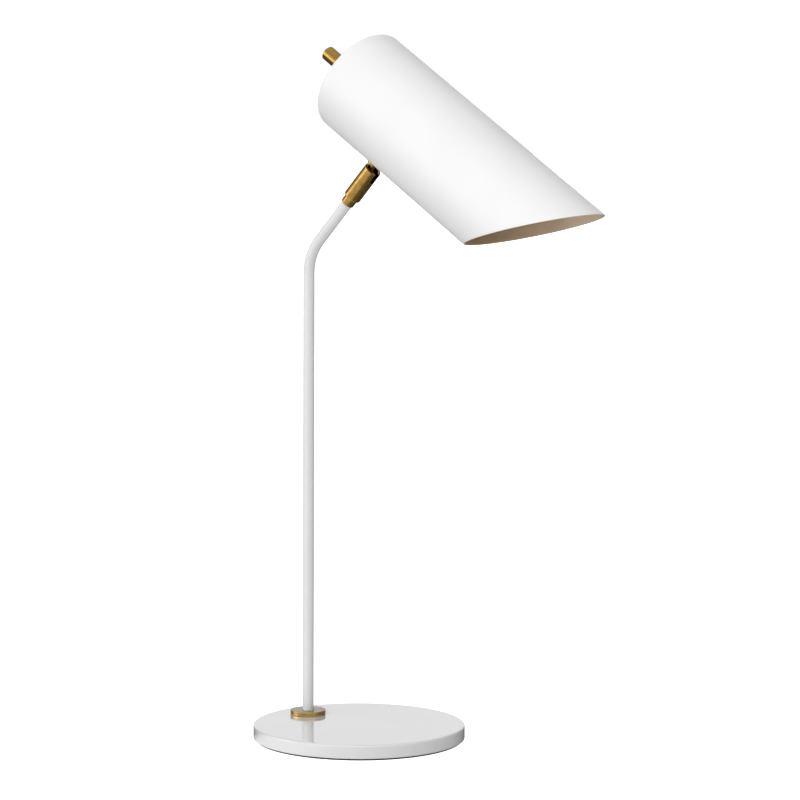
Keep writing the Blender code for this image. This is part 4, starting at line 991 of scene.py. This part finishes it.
SHADE_STEPS = 192
CORNER_POINTS = ARC_STEPS + 1
REAR_STEPS = 12
SIDE_STEPS = 72
runs = {
    CORNER_POINTS - 1: REAR_STEPS,
    2 * CORNER_POINTS - 1: SIDE_STEPS,
    4 * CORNER_POINTS - 1: SIDE_STEPS,
    5 * CORNER_POINTS - 1: REAR_STEPS,
}
form = bmesh.new()
walls = []
for step in range(SHADE_STEPS):
    angle = 2 * math.pi * step / SHADE_STEPS
    loop = split_runs(soften(shade_section(angle)), runs)
    wall = [form.verts.new((p.x * math.cos(angle), p.x * math.sin(angle), p.z)) for p in loop]
    walls.append(wall)
lining_from = 3 * CORNER_POINTS + (REAR_STEPS - 1) + (SIDE_STEPS - 1)
for step in range(SHADE_STEPS):
    near = walls[step]
    far = walls[(step + 1) % SHADE_STEPS]
    for index in range(len(near)):
        following = (index + 1) % len(near)
        face = form.faces.new((near[index], near[following], far[following], far[index]))
        face.material_index = 1 if index >= lining_from else 0
shade = mesh_object("slant_cut_shade", form, shade_axes, shade_white, "head", ["shade_shell"])
shade.data.materials.append(lining)
cut(shade, rod_form(STUD_RADIUS + CLEARANCE, saddle_high.z - PAST, saddle_high.z + PAST), ball_axes)
mark(shade, shade_axes, [(shade_radius, 0)], [], shade_radius)
shade_smoothly(shade)
print("shade is", round(2 * shade_radius / MM), "mm wide and", round(shade_high.z / MM), "mm long")

# %% [markdown]
# ## Knob, ring nut and switch
# On the rear face a brass ring nut holds the rotary switch, and a plain turned knob covers its spindle. The
# knob has its own body, so it turns with its grub screw while the ring nut stays. Its bore is stepped: narrow
# for the spindle, and wide where it passes over the bushing.

# %% Knob
knob_low, knob_high = spans("switch_knob", shade_axes)
SPINDLE_RADIUS = 3 * MM
BUSHING_RADIUS = 4.9 * MM
spindle_end = spans("switch_spindle", shade_axes)[0].z
bushing_end = spans("switch_body", shade_axes)[0].z
knob_outline = [
    (0, spindle_end - CLEARANCE, 0),
    (SPINDLE_RADIUS + CLEARANCE, spindle_end - CLEARANCE, 0),
    (SPINDLE_RADIUS + CLEARANCE, bushing_end - 2 * CLEARANCE, 0),
    (BUSHING_RADIUS + CLEARANCE, bushing_end - 2 * CLEARANCE, 0),
    (BUSHING_RADIUS + CLEARANCE, knob_high.z, 0.1 * MM),
    (knob_high.y, knob_high.z, 0.35 * MM),
    (knob_high.y, knob_low.z, 0.5 * MM),
    (0, knob_low.z, 0),
]
knob = turned(
    "brass_knob", knob_outline, shade_axes, brass, "knob", ["switch_knob"],
    96, 0.8 * MM,
)
screw_low, screw_high = spans("knob_screw", shade_axes)
screw_radius = (screw_high.z - screw_low.z) / 2
screw_axes = shade_axes @ Matrix.Translation((0, 0, (screw_low.z + screw_high.z) / 2))
screw_axes = screw_axes @ Matrix.Rotation(-math.pi / 2, 4, "X")
cut(knob, rod_form(screw_radius + CLEARANCE / 2, 0, knob_high.y + PAST), screw_axes)
finish_turning(knob, knob_outline, shade_axes)

# %% Ring nut
nut_low, nut_high = spans("switch_ferrule", shade_axes)
nut_outline = [
    (nut_high.y, nut_high.z, 0.3 * MM),
    (nut_high.y, nut_low.z, 0.45 * MM),
    (BUSHING_RADIUS + CLEARANCE, nut_low.z, 0.2 * MM),
    (BUSHING_RADIUS + CLEARANCE, nut_high.z, 0.1 * MM),
]
turned("ring_nut", nut_outline, shade_axes, brass, "head", ["switch_ferrule"], 96, 0.6 * MM)

# %% [markdown]
# ## Lampholder and bulb
# Deep in the shade a black moulded holder on a bent strip carries a small bulb with an opal dome. Only its
# end shows from below, but it is what a hand meets when it changes the bulb, so it gets real edges, grip
# rings on the holder and a waist under the dome.

# %% Lampholder
holder_low, holder_high = spans("lampholder_body", shade_axes)
cap_low, cap_high = spans("lampholder_cap", shade_axes)
holder_radius = holder_high.y
shell_low, shell_high = spans("screw_shell", shade_axes)
socket_radius = shell_high.y + CLEARANCE
CONTACT_BORE = 2.8 * MM
GRIP_RINGS = 5
FIRST_GROOVE = 5 * MM
GROOVE_PITCH = 2.4 * MM
GROOVE_DEPTH = 0.6 * MM
GROOVE_SLOPE = 0.4 * MM
holder_outline = [(holder_radius, holder_high.z, 0.8 * MM)]
for ring in range(GRIP_RINGS):
    groove = holder_high.z - FIRST_GROOVE - GROOVE_PITCH * ring
    holder_outline += [
        (holder_radius, groove, 0.2 * MM),
        (holder_radius - GROOVE_DEPTH, groove - GROOVE_SLOPE, 0.1 * MM),
        (holder_radius - GROOVE_DEPTH, groove - 2 * GROOVE_SLOPE, 0.1 * MM),
        (holder_radius, groove - 3 * GROOVE_SLOPE, 0.2 * MM),
    ]
holder_outline += [
    (holder_radius, holder_low.z, 0.4 * MM),
    (CONTACT_BORE, holder_low.z, 0),
    (CONTACT_BORE, shell_low.z - CLEARANCE, 0),
    (socket_radius, shell_low.z - CLEARANCE, 0),
    (socket_radius, holder_high.z, 0.4 * MM),
]
turned(
    "lampholder", holder_outline, shade_axes, phenolic, "head", ["lampholder_body"],
    96, 1.5 * MM,
)

# %% Lampholder dome
HOLDER_WALL = 1.6 * MM
NIPPLE_HOLE = 5.3 * MM
SHOULDER = 5 * MM
cap_outline = [
    (holder_radius, cap_high.z, 0.2 * MM),
    (holder_radius, cap_low.z + SHOULDER, 3 * MM),
    (0.6 * holder_radius, cap_low.z, 2 * MM),
    (NIPPLE_HOLE, cap_low.z, 0.1 * MM),
    (NIPPLE_HOLE, cap_low.z + HOLDER_WALL, 0.1 * MM),
    (0.57 * holder_radius, cap_low.z + HOLDER_WALL, 1 * MM),
    (holder_radius - HOLDER_WALL, cap_low.z + 1.08 * SHOULDER, 2 * MM),
    (holder_radius - HOLDER_WALL, cap_high.z, 0.2 * MM),
]
turned(
    "lampholder_dome", cap_outline, shade_axes, phenolic, "head", ["lampholder_cap"],
    96, 1.5 * MM,
)

# %% Bulb's body
house_low, house_high = spans("bulb_housing", shade_axes)
CAP_RADIUS = 13.2 * MM
rim_radius = house_high.y
house_height = house_high.z - house_low.z
housing_outline = [
    (0, house_high.z, 0),
    (rim_radius, house_high.z, 0.3 * MM),
    (rim_radius, house_high.z - 0.12 * house_height, 0.4 * MM),
    (0.95 * rim_radius, house_high.z - 0.35 * house_height, 4 * MM),
    (0.74 * rim_radius, house_high.z - 0.78 * house_height, 4 * MM),
    (CAP_RADIUS, house_low.z, 0.3 * MM),
    (0, house_low.z, 0),
]
turned("bulb_body", housing_outline, shade_axes, nylon, "head", ["bulb_housing"], 96, 1.5 * MM)

# %% Bulb's dome
dome_low, dome_high = spans("bulb_dome", shade_axes)
DOME_CHAMFER = 0.6 * MM
DOME_STEPS = 32
dome_radius = dome_high.y
dome_outline = [(0, dome_low.z, 0), (dome_radius - DOME_CHAMFER, dome_low.z, 0)]
for step in range(1, DOME_STEPS + 1):
    angle = math.pi / 2 * step / DOME_STEPS
    dome_outline.append((dome_radius * math.cos(angle), dome_low.z + dome_radius * math.sin(angle), 0))
turned("bulb_globe", dome_outline, shade_axes, opal, "head", ["bulb_dome"], 96, 1.5 * MM)

# %% [markdown]
# ## Finishes for the solids that stay
# The nuts, washers, wires and the strip inside have the right shape already, so they stay as they were
# packed. Each gets the finish that its slot in the record names.

# %% Finishes by slot
finish_of_slot = {
    "white_paint": stem_white_shaded,
    "gloss_white_paint": gloss_white,
    "shade_paint": shade_white,
    "aged_brass": brass,
    "zinc_steel": steel,
    "nickel": nickel,
    "dark_felt": felt,
    "black_rubber": rubber,
    "white_nylon": nylon,
    "black_phenolic": phenolic,
    "opal_diffuser": opal,
    "lead_sheath": sheath,
}
kept = 0
for part in frame["record"]["subparts"]:
    solid = nodes[part["node"]]
    for place in solid.material_slots:
        place.material = finish_of_slot[part["material_slot"]]
    kept += not solid.hide_render
print(kept, "packed solids stay in view")

# %% [markdown]
# ## Floor, sky and lights
# The floor is plain and pale and runs to the horizon, and the sky behind it is white. White paint in a white
# room has no edges, so what lights the lamp differs from what the camera sees: a bright wall behind it, which
# the glossy base mirrors, a soft light overhead, a fill from the front, and a tall panel at the far left with
# a brighter core. The panel makes the gold band on the brass, and the dark rest makes its dark edges. The
# floor throws light up into the shade, but shiny metal mirrors only a bright patch of it at the left. One
# very soft sun from the front left, as wide as a big soft box, models the round of the shade.

# %% Light settings
FLOOR_GLOW = 1.0            # to the camera only
FLOOR_BOUNCE = 0.85         # to paint and felt
DARK_FLOOR = 0.12           # to shiny metal, away from the patch
LIT_FLOOR = 1.0             # to shiny metal, in the patch
BACKDROP = 1.05             # to the camera only
BACK_WALL = 0.8
OVERHEAD = 0.58
LEFT_PANEL = 0.7
LEFT_CORE = 2.0
FRONT_FILL = 0.6
DIM_STUDIO = 0.06
SUN_STRENGTH = 1.2
SUN_WIDTH = 80              # degrees
SUN_LEFT = 0.5
SUN_HEIGHT = 0.75

# %% Directions of the studio
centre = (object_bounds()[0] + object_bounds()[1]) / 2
right = Vector((math.sin(CAMERA_HEADING), -math.cos(CAMERA_HEADING), 0))
toward = -Vector((math.cos(CAMERA_HEADING), math.sin(CAMERA_HEADING), 0))
up = Vector((0, 0, 1))


def to_the_left(degrees, climb=0.0):
    """The direction so many degrees to the left of the camera, as seen from the lamp."""
    turn = math.radians(degrees)
    return (math.cos(turn) * toward - math.sin(turn) * right + climb * up).normalized()


# %% Floor
floor_paint, tree, shader = new_finish("pale_floor", Roughness=0.9)
place = put(tree, "TexCoord").outputs["Object"]
grain = put(tree, "TexNoise", Vector=place, Scale=300.0, Detail=3.0).outputs[0]
path = put(tree, "LightPath")
seen = path.outputs["Is Camera Ray"]
pale = blend_colour(tree, fit(tree, grain, 0.3, 0.7), (0.93, 0.93, 0.93), (0.95, 0.95, 0.95))
way_out = put(tree, "VectorMath", {"operation": "NORMALIZE"}, i0=place).outputs[0]
patch_way = tuple(to_the_left(60))
aim = put(tree, "VectorMath", {"operation": "DOT_PRODUCT"}, i0=way_out, i1=patch_way).outputs["Value"]
patch = fit(tree, aim, 0.8, 0.94, DARK_FLOOR, LIT_FLOOR)
mirrored = put(tree, "CombineColor", Red=patch, Green=patch, Blue=patch).outputs[0]
quiet = blend_colour(tree, path.outputs["Is Glossy Ray"], (FLOOR_BOUNCE,) * 3, mirrored)
tree.links.new(blend_colour(tree, seen, quiet, pale), shader.inputs["Base Color"])
shader.inputs["Emission Color"].default_value = (1, 1, 1, 1)
tree.links.new(calc(tree, "MULTIPLY", seen, FLOOR_GLOW), shader.inputs["Emission Strength"])
FLOOR_SIZE = 60
bpy.ops.mesh.primitive_plane_add(size=FLOOR_SIZE)
floor = bpy.context.active_object
floor.name = "studio_floor"
floor.data.materials.append(floor_paint)

# %% Sky
world = bpy.data.worlds.new("studio_sky")
bpy.context.scene.world = world
world.use_nodes = True
tree = world.node_tree
tree.nodes.clear()
direction = put(tree, "TexCoord").outputs["Generated"]


def share_of_sky(way, low, high, to_low, to_high):
    """Brightness that rises from one value to another as a direction turns towards a given way."""
    dot = put(tree, "VectorMath", {"operation": "DOT_PRODUCT"}, i0=direction, i1=way).outputs["Value"]
    return fit(tree, dot, low, high, to_low, to_high)


back_wall = share_of_sky(tuple(-toward), 0.8, 0.96, 0.0, BACK_WALL)
overhead = share_of_sky((0, 0, 1), 0.2, 0.95, 0.0, OVERHEAD)
left_panel = share_of_sky(tuple(to_the_left(85, 0.1)), 0.8, 0.88, 0.0, LEFT_PANEL)
left_core = share_of_sky(tuple(to_the_left(86, 0.08)), 0.955, 0.99, 0.0, LEFT_CORE)
front_fill = share_of_sky(tuple(toward), 0.3, 0.7, DIM_STUDIO, FRONT_FILL)
total = front_fill
for share in (back_wall, overhead, left_panel, left_core):
    total = calc(tree, "ADD", total, share)
surround = put(tree, "Background", Color=(1, 1, 1, 1), Strength=total)
backdrop = put(tree, "Background", Color=(1, 1, 1, 1), Strength=BACKDROP)
seen = put(tree, "LightPath").outputs["Is Camera Ray"]
mixed = put(tree, "MixShader", i0=seen, i1=surround.outputs[0], i2=backdrop.outputs[0])
sky_out = tree.nodes.new("ShaderNodeOutputWorld")
tree.links.new(mixed.outputs[0], sky_out.inputs["Surface"])

# %% Sun
sun_data = bpy.data.lights.new("soft_sun", "SUN")
sun_data.energy = SUN_STRENGTH
sun_data.angle = math.radians(SUN_WIDTH)
sun = bpy.data.objects.new("soft_sun", sun_data)
sun.location = centre + toward + SUN_LEFT * -right + SUN_HEIGHT * up
sun.rotation_mode = "QUATERNION"
sun.rotation_quaternion = (centre - sun.location).to_track_quat("-Z", "Y")
sun.visible_glossy = False
bpy.context.scene.collection.objects.link(sun)

bpy.context.scene.view_settings.view_transform = "Standard"
print("lit by a sun of strength", SUN_STRENGTH)
